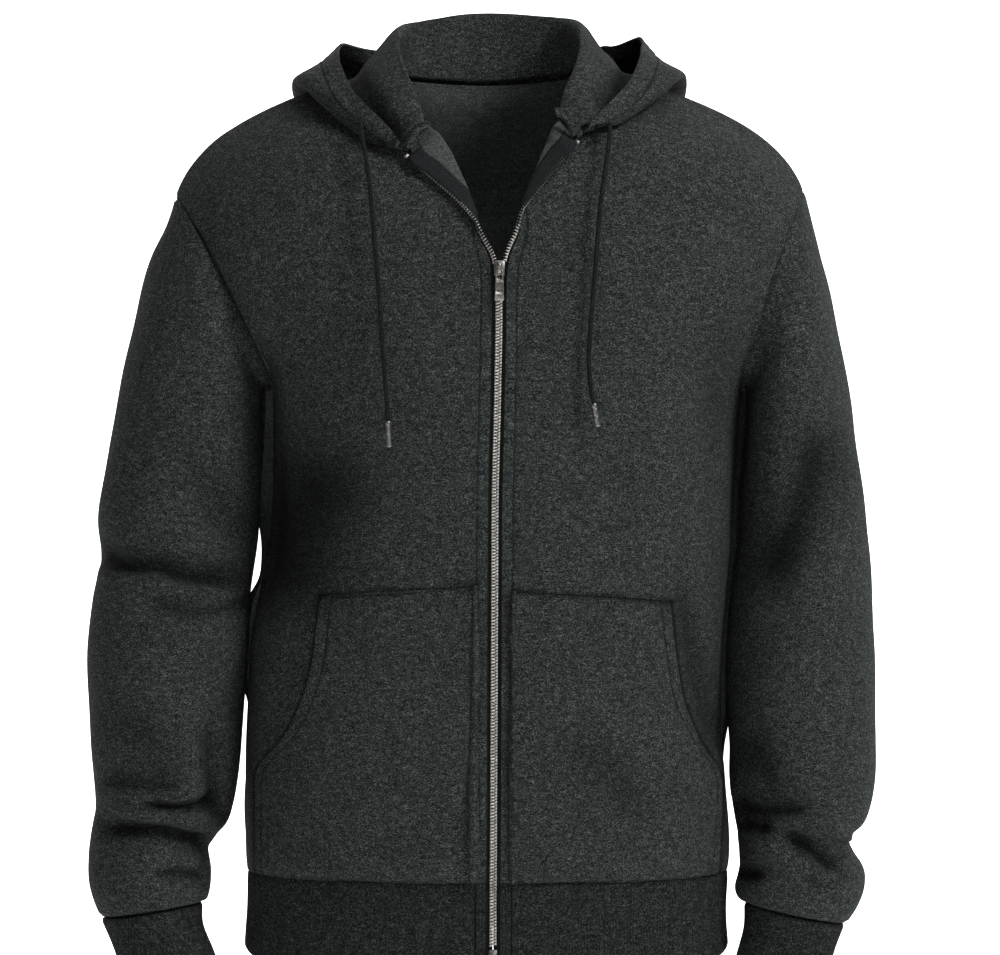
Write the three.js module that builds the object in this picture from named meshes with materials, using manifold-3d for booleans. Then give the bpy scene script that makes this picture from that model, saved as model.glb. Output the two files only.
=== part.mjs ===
// Zip-up hoodie of charcoal heather fleece, worn, zipped to the chest, hood folded down.
// Millimetres, +Z up. The front faces -Y and the wearer's right is at -X.
// The origin is the middle of the neck opening, level with its side points.
// Every piece of cloth is one closed wall, grown from a grid of points on its middle surface.

import * as THREE from 'three';
import { mergeVertices } from 'three/addons/utils/BufferGeometryUtils.js';
import Module from 'manifold-3d';

// Driving sizes
const FLEECE = 2.2;
const RIB = 2.4;
const HOOD_FLEECE = 2.6;
const POCKET_FLEECE = 2.0;
const TAPE = 0.9;
const SEAM_GAP = 0.3;
const SHOULDER_GAP = 1.1;
const SIDE_GAP = 0.5;
const ARMHOLE_SEAM_GAP = 2.6;
const MERGE_DISTANCE = 1e-4;
const NECK_X = -6;
const RIGHT = -1;
const LEFT = 1;

// Grid steps
const FRONT_COLUMNS = 17;
const EDGE_COLUMNS = 3;
const LOWER_ROWS = 14;
const UPPER_ROWS = 12;
const BACK_COLUMNS = 9;
const WAISTBAND_COLUMNS = 8;
const WAISTBAND_ROWS = 3;
const SLEEVE_SIDES = 18;
const SLEEVE_RINGS = 24;
const ROW_SPREAD = 1.3;
const SMOOTHING_ROUNDS = 10;
const SMOOTHING_START = LOWER_ROWS - 3;
const HALVINGS = 24;

// Torso sections below the arms: half outlines, zip line, foremost and rearmost points
const TORSO = [
  { z: -700, right: -203.5, left: 190.0, zip: -1.5, front: -122, back: 118 },
  { z: -650, right: -201.0, left: 187.5, zip: -1.4, front: -122, back: 118 },
  { z: -622, right: -203.0, left: 190.5, zip: -1.2, front: -129, back: 124 },
  { z: -580, right: -203.8, left: 189.0, zip: -1.0, front: -132, back: 124 },
  { z: -520, right: -202.8, left: 185.5, zip: -0.7, front: -132, back: 120 },
  { z: -455, right: -199.5, left: 184.5, zip: -0.4, front: -130, back: 113 },
  { z: -395, right: -193.5, left: 189.5, zip: -0.1, front: -129, back: 110 },
  { z: -330, right: -188.0, left: 195.5, zip: 0.2, front: -130, back: 113 },
  { z: -280, right: -184.5, left: 198.5, zip: 1.4, front: -131, back: 118 },
  { z: -236, right: -183.0, left: 200.5, zip: 2.4, front: -131, back: 121 },
];
const UNDERARM_Z = -236;
const HEM_SEAM_Z = -636;
const WAISTBAND_BOTTOM_Z = -693;
const SECTION_HANDLE = { side: 0.62, centre: 0.60 };

// Armhole loops: shoulder tip, underarm, reach to the front and back, bow of the seam's front
const ARMHOLE = {
  right: { tip: [-262, 2, -84], pit: [-183, 0, -236], front: 66, back: 76, bow: 6 },
  left: { tip: [253, 2, -80], pit: [200.5, 0, -236], front: 66, back: 76, bow: 4 },
};

// Shoulder seams, from the tip to the side neck point, with the curve's two handles
const SHOULDER = {
  right: { tipHandle: [12, 0, 52], neckHandle: [-79, -2, -4], neck: [-86, 8, 14] },
  left: { tipHandle: [-10, 0, 50], neckHandle: [72, -2, -2], neck: [74, 8, 16] },
};

// Front edges above the slider. fold is the line where the cloth turns, teeth the zip's line
const OPENING = {
  right: [
    { fold: [-11, -131, -200], teeth: [1.8, -131.5, -200] },
    { fold: [-11, -131, -165], teeth: [2.0, -132, -165] },
    { fold: [-12.5, -129, -143], teeth: [0.8, -131.5, -141] },
    { fold: [-14, -125, -124], teeth: [-8.5, -129, -122] },
    { fold: [-16, -118, -106], teeth: [-18, -127, -106.5] },
    { fold: [-23, -110, -87], teeth: [-30.5, -120, -93] },
    { fold: [-31, -103, -70.5], teeth: [-43, -115, -82] },
    { fold: [-40.5, -97, -52], teeth: [-55, -110, -71.5] },
    { fold: [-52, -91, -36], teeth: [-68.5, -105, -59] },
  ],
  left: [
    { fold: [16.5, -131, -200], teeth: [4.4, -131.5, -200] },
    { fold: [17.5, -131, -165], teeth: [4.6, -132, -165] },
    { fold: [19, -129, -143], teeth: [7, -131.5, -139] },
    { fold: [21.5, -125, -122], teeth: [16, -129, -117.5] },
    { fold: [24, -118, -99], teeth: [21.5, -127, -102] },
    { fold: [30.5, -110, -80], teeth: [30.5, -120, -90] },
    { fold: [38, -103, -62], teeth: [42, -115, -75] },
    { fold: [45, -97, -46], teeth: [53.5, -110, -61] },
    { fold: [52, -91, -31], teeth: [64, -105, -48] },
  ],
};
const NECKLINE = {
  right: [[-72, -62, -20], [-82, -34, -4]],
  left: [[66, -62, -15], [72, -34, -1]],
};
const FOLD_OUT = 13.5;
const TEETH_OUT = 1.2;
const CLOTH_BACK_FROM_TEETH = 4.6;
const TAPE_BACK_FROM_TEETH = 3.0;
const TAPE_EASE = 0.5;
const TAPE_HIDDEN = 8.6;
const TAPE_WIDE_BELOW_Z = -300;
const WAIST_TAPE_SHARES = [0.04, 0.5, 0.93];
const FOLD_LEAD = 0.55;
const NECK_EDGE_STUB = 2.5;

// Fullness of the chest and the upper back over a surface stretched between their edges
const CHEST_FULLNESS = 7;
const BACK_FULLNESS = 12;
const BACK_NECK = { share: 0.62, sideHandle: [0, 38, 3], middleHandle: 42 };
const BACK_LINE = [
  { z: -236, y: 121 },
  { z: -150, y: 123 },
  { z: -90, y: 117 },
  { z: -40, y: 104 },
  { z: 14, y: 78 },
];

// Sleeve rings below the armhole, outer and inner edge of each, and its reach to front and back
const SLEEVE = {
  right: [
    { outX: -269, outZ: -108, inX: -190.5, inZ: -240, front: 72, back: 79, y: 4 },
    { outX: -284, outZ: -145, inX: -192.5, inZ: -268, front: 73, back: 80, y: 5 },
    { outX: -296, outZ: -191, inX: -193.5, inZ: -293, front: 72, back: 79, y: 6 },
    { outX: -307, outZ: -242, inX: -194, inZ: -324, front: 70, back: 79, y: 6 },
    { outX: -317, outZ: -295, inX: -195, inZ: -352, front: 67, back: 76, y: 5 },
    { outX: -324.5, outZ: -344, inX: -196.5, inZ: -374, front: 67, back: 73, y: 3 },
    { outX: -323, outZ: -379, inX: -199, inZ: -400, front: 66, back: 70, y: 0 },
    { outX: -329.5, outZ: -416, inX: -202.5, inZ: -435, front: 68, back: 70, y: -4 },
    { outX: -332, outZ: -463, inX: -205, inZ: -476, front: 66, back: 68, y: -8 },
    { outX: -331, outZ: -500, inX: -207, inZ: -514, front: 62, back: 66, y: -11 },
    { outX: -328, outZ: -541, inX: -209.5, inZ: -549, front: 59, back: 62, y: -14 },
    { outX: -324.5, outZ: -578, inX: -214, inZ: -577, front: 57, back: 59, y: -16 },
    { outX: -327, outZ: -596, inX: -220.5, inZ: -596, front: 54, back: 56, y: -17 },
    { outX: -330.5, outZ: -615, inX: -234.5, inZ: -611, front: 51, back: 53, y: -18 },
    { outX: -331.5, outZ: -637, inX: -233, inZ: -634, front: 52, back: 53, y: -19 },
    { outX: -328, outZ: -654, inX: -234, inZ: -652, front: 49, back: 50, y: -20 },
    { outX: -320.5, outZ: -671, inX: -238.5, inZ: -659, front: 44, back: 45, y: -20 },
  ],
  left: [
    { outX: 262, outZ: -112, inX: 207.5, inZ: -240, front: 72, back: 79, y: 4 },
    { outX: 272, outZ: -156, inX: 206, inZ: -271, front: 73, back: 80, y: 5 },
    { outX: 282, outZ: -205, inX: 204.5, inZ: -299, front: 72, back: 79, y: 6 },
    { outX: 289.5, outZ: -250, inX: 202.5, inZ: -328, front: 70, back: 79, y: 6 },
    { outX: 297, outZ: -298, inX: 200.5, inZ: -357, front: 67, back: 76, y: 5 },
    { outX: 303.5, outZ: -348, inX: 196.5, inZ: -389, front: 67, back: 73, y: 3 },
    { outX: 306.5, outZ: -393, inX: 193.5, inZ: -418, front: 66, back: 70, y: 0 },
    { outX: 309, outZ: -447, inX: 190.5, inZ: -459, front: 68, back: 70, y: -4 },
    { outX: 310, outZ: -496, inX: 190.5, inZ: -500, front: 66, back: 68, y: -8 },
    { outX: 310, outZ: -533, inX: 192.5, inZ: -533, front: 62, back: 66, y: -11 },
    { outX: 309, outZ: -566, inX: 193, inZ: -563, front: 59, back: 62, y: -14 },
    { outX: 302.5, outZ: -592, inX: 196, inZ: -588, front: 57, back: 59, y: -16 },
    { outX: 287.5, outZ: -609, inX: 200, inZ: -609, front: 52, back: 54, y: -17 },
    { outX: 297, outZ: -626, inX: 201.5, inZ: -626, front: 53, back: 54, y: -18 },
    { outX: 301, outZ: -640, inX: 199, inZ: -640, front: 52, back: 53, y: -19 },
    { outX: 297, outZ: -658, inX: 197, inZ: -651, front: 49, back: 50, y: -20 },
    { outX: 285, outZ: -676, inX: 203.5, inZ: -659, front: 44, back: 45, y: -20 },
  ],
};

// Cuffs, from the sleeve's end to the open wrist
const CUFF = {
  right: [
    { outX: -319.2, outZ: -672.6, inX: -239.6, inZ: -660.2, front: 43, back: 44, y: -20 },
    { outX: -311, outZ: -692, inX: -239, inZ: -678, front: 39, back: 40, y: -21 },
    { outX: -304, outZ: -712, inX: -230, inZ: -700, front: 38, back: 39, y: -23 },
    { outX: -296, outZ: -735, inX: -222, inZ: -722, front: 37, back: 38, y: -25 },
  ],
  left: [
    { outX: 284, outZ: -677.6, inX: 204.4, inZ: -660.4, front: 43, back: 44, y: -20 },
    { outX: 277, outZ: -695, inX: 204, inZ: -680, front: 39, back: 40, y: -21 },
    { outX: 271, outZ: -714, inX: 199, inZ: -700, front: 38, back: 39, y: -23 },
    { outX: 264, outZ: -737, inX: 193, inZ: -722, front: 37, back: 38, y: -25 },
  ],
};

// Hood stations from the zip's top to the middle of the back. In each, out is the distance
// from the neck's middle plane, and the six points run from the neck seam to the free rim
const HOOD = [
  {
    seam: { out: 48, y: -90, z: -32 }, crest: { out: 51, y: -92, z: -31 },
    gutter: { out: 55, y: -95.5, z: -34.5 }, keel: { out: 59, y: -99.5, z: -40 },
    swell: { out: 62, y: -103, z: -46 }, rim: { out: 64, y: -106, z: -52 },
  },
  {
    seam: { out: 56, y: -78, z: -24 }, crest: { out: 55, y: -79, z: -14 },
    gutter: { out: 65, y: -85, z: -18 }, keel: { out: 81, y: -93, z: -38 },
    swell: { out: 89, y: -94, z: -37 }, rim: { out: 84, y: -92, z: -29 },
  },
  {
    seam: { out: 66, y: -62, z: -15.5 }, crest: { out: 63, y: -63, z: 6 },
    gutter: { out: 80, y: -67, z: -5 }, keel: { out: 105, y: -73, z: -26 },
    swell: { out: 115, y: -71, z: -16 }, rim: { out: 106, y: -67, z: -6 },
  },
  {
    seam: { out: 76, y: -34, z: -1.5 }, crest: { out: 70, y: -35, z: 28 },
    gutter: { out: 94, y: -40, z: 8 }, keel: { out: 128, y: -46, z: -8 },
    swell: { out: 139, y: -44, z: 2 }, rim: { out: 116, y: -38, z: 12 },
  },
  {
    seam: { out: 80, y: 8, z: 17 }, crest: { out: 73, y: 8, z: 49 },
    gutter: { out: 102, y: 8, z: 21 }, keel: { out: 144, y: 6, z: 8 },
    swell: { out: 157.5, y: 6, z: 13 }, rim: { out: 121, y: 4, z: 32 },
  },
  {
    seam: { out: 58, y: 55, z: 18.5 }, crest: { out: 68, y: 62, z: 65 },
    gutter: { out: 104, y: 94, z: 8 }, keel: { out: 138, y: 122, z: -44 },
    swell: { out: 150, y: 120, z: -10 }, rim: { out: 116, y: 88, z: 44 },
  },
  {
    seam: { out: 31, y: 71.5, z: 18 }, crest: { out: 38, y: 87, z: 70 },
    gutter: { out: 56, y: 138, z: -70 }, keel: { out: 74, y: 164, z: -136 },
    swell: { out: 90, y: 177, z: -70 }, rim: { out: 66, y: 138, z: 45 },
  },
  {
    seam: { out: 0, y: 78, z: 17 }, crest: { out: 0, y: 96, z: 72 },
    gutter: { out: 0, y: 140, z: -108 }, keel: { out: 0, y: 168, z: -174 },
    swell: { out: 0, y: 193, z: -96 }, rim: { out: 0, y: 156, z: 40 },
  },
];
const HOOD_POINTS = ['seam', 'crest', 'gutter', 'keel', 'swell', 'rim'];
const HOOD_LEFT_FRONT = { out: 8, y: 0, z: 10 };
const HOOD_STEPS_ROUND = 14;
const HOOD_STEPS_ACROSS = 12;

// Pocket outlines on the fronts, from the hem seam up to the top seam. edge is the outer side
const POCKET = {
  right: [
    { z: -634, edge: -190 },
    { z: -574, edge: -190.5 },
    { z: -548, edge: -188 },
    { z: -524, edge: -169 },
    { z: -500, edge: -155.5 },
    { z: -473, edge: -146.5 },
    { z: -445, edge: -142 },
    { z: -408, edge: -140 },
  ],
  left: [
    { z: -634, edge: 178 },
    { z: -580, edge: 180 },
    { z: -553, edge: 179 },
    { z: -520, edge: 162 },
    { z: -492, edge: 149.5 },
    { z: -468, edge: 145 },
    { z: -445, edge: 142 },
    { z: -412, edge: 139.5 },
  ],
};
const POCKET_TOP_RISE = 8.5;
const POCKET_COLUMNS = 13;
const POCKET_ROW_STEP = 0.5;
const POCKET_EASE = 1.25;

// Drawstrings, chosen by hand from the eyelet under the hood's edge to the free end
const CORD_DIAMETER = 4;
const CORD_STEPS = 18;
const CORD = {
  right: [
    [-107.2, -87.7, -31.6], [-106, -102, -42], [-103, -112, -58], [-99.5, -122, -80],
    [-97, -130, -104], [-94.5, -135.5, -135], [-91.5, -136.5, -170], [-88.5, -136, -213],
    [-86, -136, -245], [-84.5, -135.5, -269],
  ],
  left: [
    [91.6, -94.8, -31.0], [91.5, -106, -42], [90, -114, -54], [87, -122, -74],
    [83.5, -131, -100], [80.5, -136.5, -135], [77.5, -137, -172], [74.5, -136.5, -215],
    [75.5, -136.5, -238], [78.4, -136, -255],
  ],
};
const TIP_LENGTH = { right: 21, left: 19 };
const TIP_DIAMETER = 4.6;

// Zip hardware
const CHAIN = { half: 3.4, depth: 2.6, forward: -0.6, openHalf: 1.9, openStart: -140 };
const SLIDER = {
  x: 3.6, front: -136.4, back: -130.6, top: -142, bottom: -154, topHalf: 4.6, bottomHalf: 3.9,
};
const BRIDGE = { half: 1.3, front: -141, top: -143.5, bottom: -152.5, bar: 1.1, leg: 1.5, room: 0.5 };
const TAB = { pivotY: -138.4, pivotZ: -149.9, bar: 0.8, topHalf: 3.1, half: 3.8, length: 24, depth: 1.6 };
const TAB_WINDOW = { half: 1.8, length: 7.2 };
const TAB_SLOT = { half: 1.3, top: -19.5, bottom: -22.2 };
const STOP = { across: 4.2, depth: 3.0, along: 3.0, gap: 1.0 };
const CHAIN_ROWS = 14;
const CLOSED_OPENING_ROWS = 3;
const ZIP_BOX = { half: 3.4, depth: 4, height: 10 };

const colours = {
  fleece: new THREE.Color(0x2e3535),
  rib: new THREE.Color(0x272d2d),
  tape: new THREE.Color(0x1d2020),
  metal: new THREE.Color(0x8d8b84),
  cord: new THREE.Color(0x1f2424),
};

function material(name) {
  const metal = name === 'metal';
  const roughness = metal ? 0.38 : 0.95;
  return new THREE.MeshStandardMaterial({ color: colours[name], roughness, metalness: metal ? 1 : 0 });
}

const group = new THREE.Group();

function addMesh(name, geometry, finish) {
  const mesh = new THREE.Mesh(geometry, material(finish));
  mesh.name = name;
  group.add(mesh);
  return mesh;
}

function vec([x, y, z]) {
  return new THREE.Vector3(x, y, z);
}

// A smooth value between the rows of a table, at place t, counted in rows
function rowValue(values, t) {
  const last = values.length - 1;
  const i = Math.min(Math.max(Math.floor(t), 0), last - 1);
  const f = t - i;
  const before = values[Math.max(i - 1, 0)];
  const after = values[Math.min(i + 2, last)];
  const [a, b] = [values[i], values[i + 1]];
  const [slopeA, slopeB] = [(b - before) / 2, (after - a) / 2];
  const f2 = f * f;
  const f3 = f2 * f;
  return a * (2 * f3 - 3 * f2 + 1) + slopeA * (f3 - 2 * f2 + f)
    + b * (3 * f2 - 2 * f3) + slopeB * (f3 - f2);
}

function rowPlace(table, key, value) {
  const last = table.length - 1;
  const up = table[last][key] > table[0][key];
  for (let i = 0; i < last; i += 1) {
    const [a, b] = [table[i][key], table[i + 1][key]];
    const inside = up ? value <= b : value >= b;
    if (inside || i === last - 1) return i + (value - a) / (b - a);
  }
  return last;
}

function column(table, name, t) {
  return rowValue(table.map((row) => row[name]), t);
}

function curvePoint(points, t) {
  return new THREE.Vector3(
    rowValue(points.map((p) => p[0]), t),
    rowValue(points.map((p) => p[1]), t),
    rowValue(points.map((p) => p[2]), t),
  );
}

function bezier(a, b, c, d, t) {
  const s = 1 - t;
  return a.clone().multiplyScalar(s * s * s)
    .addScaledVector(b, 3 * s * s * t)
    .addScaledVector(c, 3 * s * t * t)
    .addScaledVector(d, t * t * t);
}

// Unit normals of a grid of points, by central differences
function gridNormals(grid, closed) {
  const rows = grid.length;
  const columns = grid[0].length;
  return grid.map((row, j) => row.map((_, i) => {
    const left = closed ? (i + columns - 1) % columns : Math.max(i - 1, 0);
    const right = closed ? (i + 1) % columns : Math.min(i + 1, columns - 1);
    const across = row[right].clone().sub(row[left]);
    const along = grid[Math.min(j + 1, rows - 1)][i].clone().sub(grid[Math.max(j - 1, 0)][i]);
    return across.cross(along).normalize();
  }));
}

function offsetGrid(grid, distance, closed = false) {
  const normals = gridNormals(grid, closed);
  return grid.map((row, j) => row.map((p, i) => p.clone().addScaledVector(normals[j][i], distance)));
}

// A closed wall of even thickness round a grid, open-edged or closed on itself sideways
function wall(grid, thickness, closed = false) {
  const outer = offsetGrid(grid, thickness / 2, closed);
  const inner = offsetGrid(grid, -thickness / 2, closed);
  const rows = grid.length;
  const columns = grid[0].length;
  const positions = [];
  [outer, inner].forEach((side) => side.flat().forEach((p) => positions.push(p.x, p.y, p.z)));
  const at = (side, j, i) => side * rows * columns + j * columns + (i % columns);
  const index = [];
  const quad = (a, b, c, d) => index.push(a, b, c, a, c, d);
  const cells = closed ? columns : columns - 1;
  for (let j = 0; j < rows - 1; j += 1) {
    for (let i = 0; i < cells; i += 1) {
      quad(at(0, j, i), at(0, j, i + 1), at(0, j + 1, i + 1), at(0, j + 1, i));
      quad(at(1, j, i), at(1, j + 1, i), at(1, j + 1, i + 1), at(1, j, i + 1));
    }
  }
  for (let i = 0; i < cells; i += 1) {
    quad(at(0, 0, i + 1), at(0, 0, i), at(1, 0, i), at(1, 0, i + 1));
    quad(at(0, rows - 1, i), at(0, rows - 1, i + 1), at(1, rows - 1, i + 1), at(1, rows - 1, i));
  }
  for (let j = 0; !closed && j < rows - 1; j += 1) {
    const end = columns - 1;
    quad(at(0, j, 0), at(0, j + 1, 0), at(1, j + 1, 0), at(1, j, 0));
    quad(at(0, j + 1, end), at(0, j, end), at(1, j, end), at(1, j + 1, end));
  }
  const geometry = new THREE.BufferGeometry();
  geometry.setAttribute('position', new THREE.Float32BufferAttribute(positions, 3));
  geometry.setIndex(index);
  geometry.computeVertexNormals();
  return geometry;
}

// Moves the inner points of a grid's upper rows towards the mean of their neighbours
function smooth(grid, rounds) {
  let now = grid;
  for (let round = 0; round < rounds; round += 1) {
    now = now.map((row, j) => row.map((p, i) => {
      const border = j < SMOOTHING_START || i === 0 || j === now.length - 1 || i === row.length - 1;
      if (border) return p;
      const mean = now[j - 1][i].clone().add(now[j + 1][i]).add(row[i - 1]).add(row[i + 1]);
      return mean.multiplyScalar(0.25).lerp(p, 0.5);
    }));
  }
  return now;
}

// One half of a torso section, from the side seam (s = 0) to the middle (s = 1)
function torsoHalf(side, facing, z, s) {
  const t = rowPlace(TORSO, 'z', z);
  const sideX = column(TORSO, side < 0 ? 'right' : 'left', t);
  const zip = column(TORSO, 'zip', t);
  const depth = column(TORSO, facing, t);
  const middleX = facing === 'front' ? zip + side * FOLD_OUT : zip;
  const a = new THREE.Vector3(sideX, 0, z);
  const d = new THREE.Vector3(middleX, depth, z);
  const b = new THREE.Vector3(sideX, depth * SECTION_HANDLE.side, z);
  const c = new THREE.Vector3(middleX + (sideX - middleX) * SECTION_HANDLE.centre, depth, z);
  return bezier(a, b, c, d, s);
}

// The armhole loop: angle -90 is the underarm, 90 the shoulder tip
function armholePoint(side, facing, degrees) {
  const loop = side < 0 ? ARMHOLE.right : ARMHOLE.left;
  const angle = THREE.MathUtils.degToRad(degrees);
  const middle = vec(loop.tip).add(vec(loop.pit)).multiplyScalar(0.5);
  const half = vec(loop.tip).sub(vec(loop.pit)).multiplyScalar(0.5);
  const reach = facing === 'front' ? -loop.front : loop.back;
  const bow = facing === 'front' ? loop.bow : 0;
  const bowWay = new THREE.Vector3(half.z, 0, -half.x).normalize().multiplyScalar(-Math.sign(half.z));
  const point = middle.addScaledVector(half, Math.sin(angle));
  point.y += reach * Math.cos(angle);
  return point.addScaledVector(bowWay, -side * -bow * Math.cos(angle));
}

// Place 0 is the underarm, 1 the shoulder tip
function loopDegrees(place) {
  return 180 * place - 90;
}

// A hump from 0 at both ends to 1 halfway
function bulge(t) {
  return 4 * t * (1 - t);
}

function shoulderPoint(side, s) {
  const seam = side < 0 ? SHOULDER.right : SHOULDER.left;
  const loop = side < 0 ? ARMHOLE.right : ARMHOLE.left;
  const a = vec(loop.tip);
  const d = vec(seam.neck);
  return bezier(a, a.clone().add(vec(seam.tipHandle)), d.clone().add(vec(seam.neckHandle)), d, s);
}

// The line where a front's edge turns: up the zip, up the opening, then round the neck
function foldLine(side, t) {
  const rows = side < 0 ? OPENING.right : OPENING.left;
  const seam = side < 0 ? SHOULDER.right : SHOULDER.left;
  const start = torsoHalf(side, 'front', UNDERARM_Z, 1);
  const points = [start.toArray(), ...rows.map((row) => row.fold)];
  points.push(...(side < 0 ? NECKLINE.right : NECKLINE.left), seam.neck);
  return curvePoint(points, t * (points.length - 1));
}

function teethLine(side, t) {
  const rows = side < 0 ? OPENING.right : OPENING.left;
  return curvePoint(rows.map((row) => row.teeth), t);
}

// A surface stretched between four edge curves
function coons(bottom, top, outer, inner, s, v) {
  const across = bottom(s).multiplyScalar(1 - v).addScaledVector(top(s), v);
  const along = outer(v).multiplyScalar(1 - s).addScaledVector(inner(v), s);
  const corners = bottom(0).multiplyScalar((1 - s) * (1 - v))
    .addScaledVector(bottom(1), s * (1 - v))
    .addScaledVector(top(0), (1 - s) * v)
    .addScaledVector(top(1), s * v);
  return across.add(along).sub(corners);
}

// Heights of the torso's rows below the arms, closer together near the hem's blouse
function lowerHeight(j) {
  return THREE.MathUtils.lerp(HEM_SEAM_Z, UNDERARM_Z, (j / LOWER_ROWS) ** ROW_SPREAD);
}

function foldRows(side) {
  return (side < 0 ? OPENING.right : OPENING.left).length + NECKLINE.right.length + 1;
}

// Where a front's cloth ends beside the zip, and the zip's own line, at grid row place v
function edgeEnds(side, fold, v) {
  const rows = side < 0 ? OPENING.right : OPENING.left;
  const t = v * foldRows(side) - 1;
  const start = rows[0].teeth;
  if (v <= 0 || t < 0) {
    const zip = fold.x - side * FOLD_OUT;
    const low = new THREE.Vector3(zip + side * TEETH_OUT, fold.y, fold.z);
    const teeth = v <= 0 ? low : low.lerp(vec(start), v * foldRows(side));
    return { teeth, open: true };
  }
  if (t > rows.length - 1) return { teeth: null, open: false };
  return { teeth: teethLine(side, t), open: true };
}

// The strip of cloth from the fold line to the cloth's edge, as columns of points
function edgeStrip(before, fold, ends) {
  const lead = fold.clone().sub(before).normalize();
  let end = fold.clone().addScaledVector(lead, NECK_EDGE_STUB);
  let reach = NECK_EDGE_STUB;
  if (ends.open) {
    const back = fold.clone().sub(ends.teeth);
    reach = back.length() - CLOTH_BACK_FROM_TEETH;
    end = ends.teeth.clone().addScaledVector(back.normalize(), CLOTH_BACK_FROM_TEETH);
  }
  const turn = fold.clone().addScaledVector(lead, reach * FOLD_LEAD);
  const points = [];
  for (let k = 1; k <= EDGE_COLUMNS; k += 1) {
    const t = k / EDGE_COLUMNS;
    const a = fold.clone().lerp(turn, t);
    const b = turn.clone().lerp(end, t);
    points.push(a.lerp(b, t));
  }
  return points;
}

function upperPlace(k) {
  return k / UPPER_ROWS;
}

// The grid of one front, from the hem seam to the shoulder, side seam to zip edge
function frontGrid(side) {
  const grid = [];
  const places = [];
  for (let j = 0; j < LOWER_ROWS; j += 1) {
    const z = lowerHeight(j);
    const row = [];
    for (let i = 0; i <= FRONT_COLUMNS; i += 1) {
      row.push(torsoHalf(side, 'front', z, i / FRONT_COLUMNS));
    }
    grid.push(row);
    places.push(0);
  }
  for (let k = 0; k <= UPPER_ROWS; k += 1) {
    const v = upperPlace(k);
    const row = [];
    for (let i = 0; i <= FRONT_COLUMNS; i += 1) {
      const s = i / FRONT_COLUMNS;
      const point = coons(
        (a) => torsoHalf(side, 'front', UNDERARM_Z, a),
        (a) => shoulderPoint(side, a),
        (b) => armholePoint(side, 'front', loopDegrees(b)),
        (b) => foldLine(side, b),
        s,
        v,
      );
      point.y -= CHEST_FULLNESS * bulge(s) * bulge(v);
      row.push(point);
    }
    grid.push(row);
    places.push(v);
  }
  const smoothed = smooth(grid, SMOOTHING_ROUNDS);
  const ends = smoothed.map((row, j) => edgeEnds(side, row[FRONT_COLUMNS], places[j]));
  const full = smoothed.map((row, j) => {
    const fold = row[FRONT_COLUMNS];
    return [...row, ...edgeStrip(row[FRONT_COLUMNS - 1], fold, ends[j])];
  });
  return { grid: full, ends };
}

function outwardRows(grid, side) {
  return side === LEFT ? grid.map((row) => [...row].reverse()) : grid;
}

// The back: its rows run from the wearer's left side seam to the right one
function backHalf(side) {
  const grid = [];
  const seam = side < 0 ? SHOULDER.right : SHOULDER.left;
  const top = (s) => {
    if (s <= BACK_NECK.share) return shoulderPoint(side, s / BACK_NECK.share);
    const t = (s - BACK_NECK.share) / (1 - BACK_NECK.share);
    const { y, z } = BACK_LINE[BACK_LINE.length - 1];
    const neck = vec(seam.neck);
    const middle = new THREE.Vector3(NECK_X, y, z);
    const neckHandle = neck.clone().add(vec(BACK_NECK.sideHandle));
    const middleHandle = new THREE.Vector3(NECK_X + side * BACK_NECK.middleHandle, y, z);
    return bezier(neck, neckHandle, middleHandle, middle, t);
  };
  const line = (v) => {
    const t = v * (BACK_LINE.length - 1);
    const bottom = torsoHalf(side, 'back', UNDERARM_Z, 1);
    return new THREE.Vector3(
      THREE.MathUtils.lerp(bottom.x, NECK_X, v),
      column(BACK_LINE, 'y', t),
      column(BACK_LINE, 'z', t),
    );
  };
  for (let j = 0; j < LOWER_ROWS; j += 1) {
    const z = lowerHeight(j);
    const row = [];
    for (let i = 0; i <= BACK_COLUMNS; i += 1) row.push(torsoHalf(side, 'back', z, i / BACK_COLUMNS));
    grid.push(row);
  }
  for (let k = 0; k <= UPPER_ROWS; k += 1) {
    const v = upperPlace(k);
    const row = [];
    for (let i = 0; i <= BACK_COLUMNS; i += 1) {
      const s = i / BACK_COLUMNS;
      const point = coons(
        (a) => torsoHalf(side, 'back', UNDERARM_Z, a),
        top,
        (b) => armholePoint(side, 'back', loopDegrees(b)),
        line,
        s,
        v,
      );
      point.y += BACK_FULLNESS * bulge(s) * bulge(v);
      row.push(point);
    }
    grid.push(row);
  }
  return grid;
}

function backGrid() {
  const left = backHalf(LEFT);
  const right = backHalf(RIGHT);
  const joined = left.map((row, j) => [...row, ...[...right[j]].reverse().slice(1)]);
  return smooth(joined, SMOOTHING_ROUNDS);
}

// Draws the edges of a grid in by a gap, so that neighbouring pieces stay apart
function trimmed(grid, { first = 0, last = 0, bottom = 0, top = 0 }) {
  const pull = (p, q, distance) => p.clone().lerp(q, distance / p.distanceTo(q));
  const rows = grid.map((row) => {
    const end = row.length - 1;
    const copy = [...row];
    if (first) copy[0] = pull(row[0], row[1], first);
    if (last) copy[end] = pull(row[end], row[end - 1], last);
    return copy;
  });
  const end = rows.length - 1;
  const lowest = bottom ? rows[0].map((p, i) => pull(p, rows[1][i], bottom)) : rows[0];
  const highest = top ? rows[end].map((p, i) => pull(p, rows[end - 1][i], top)) : rows[end];
  return [lowest, ...rows.slice(1, end), highest];
}

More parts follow.
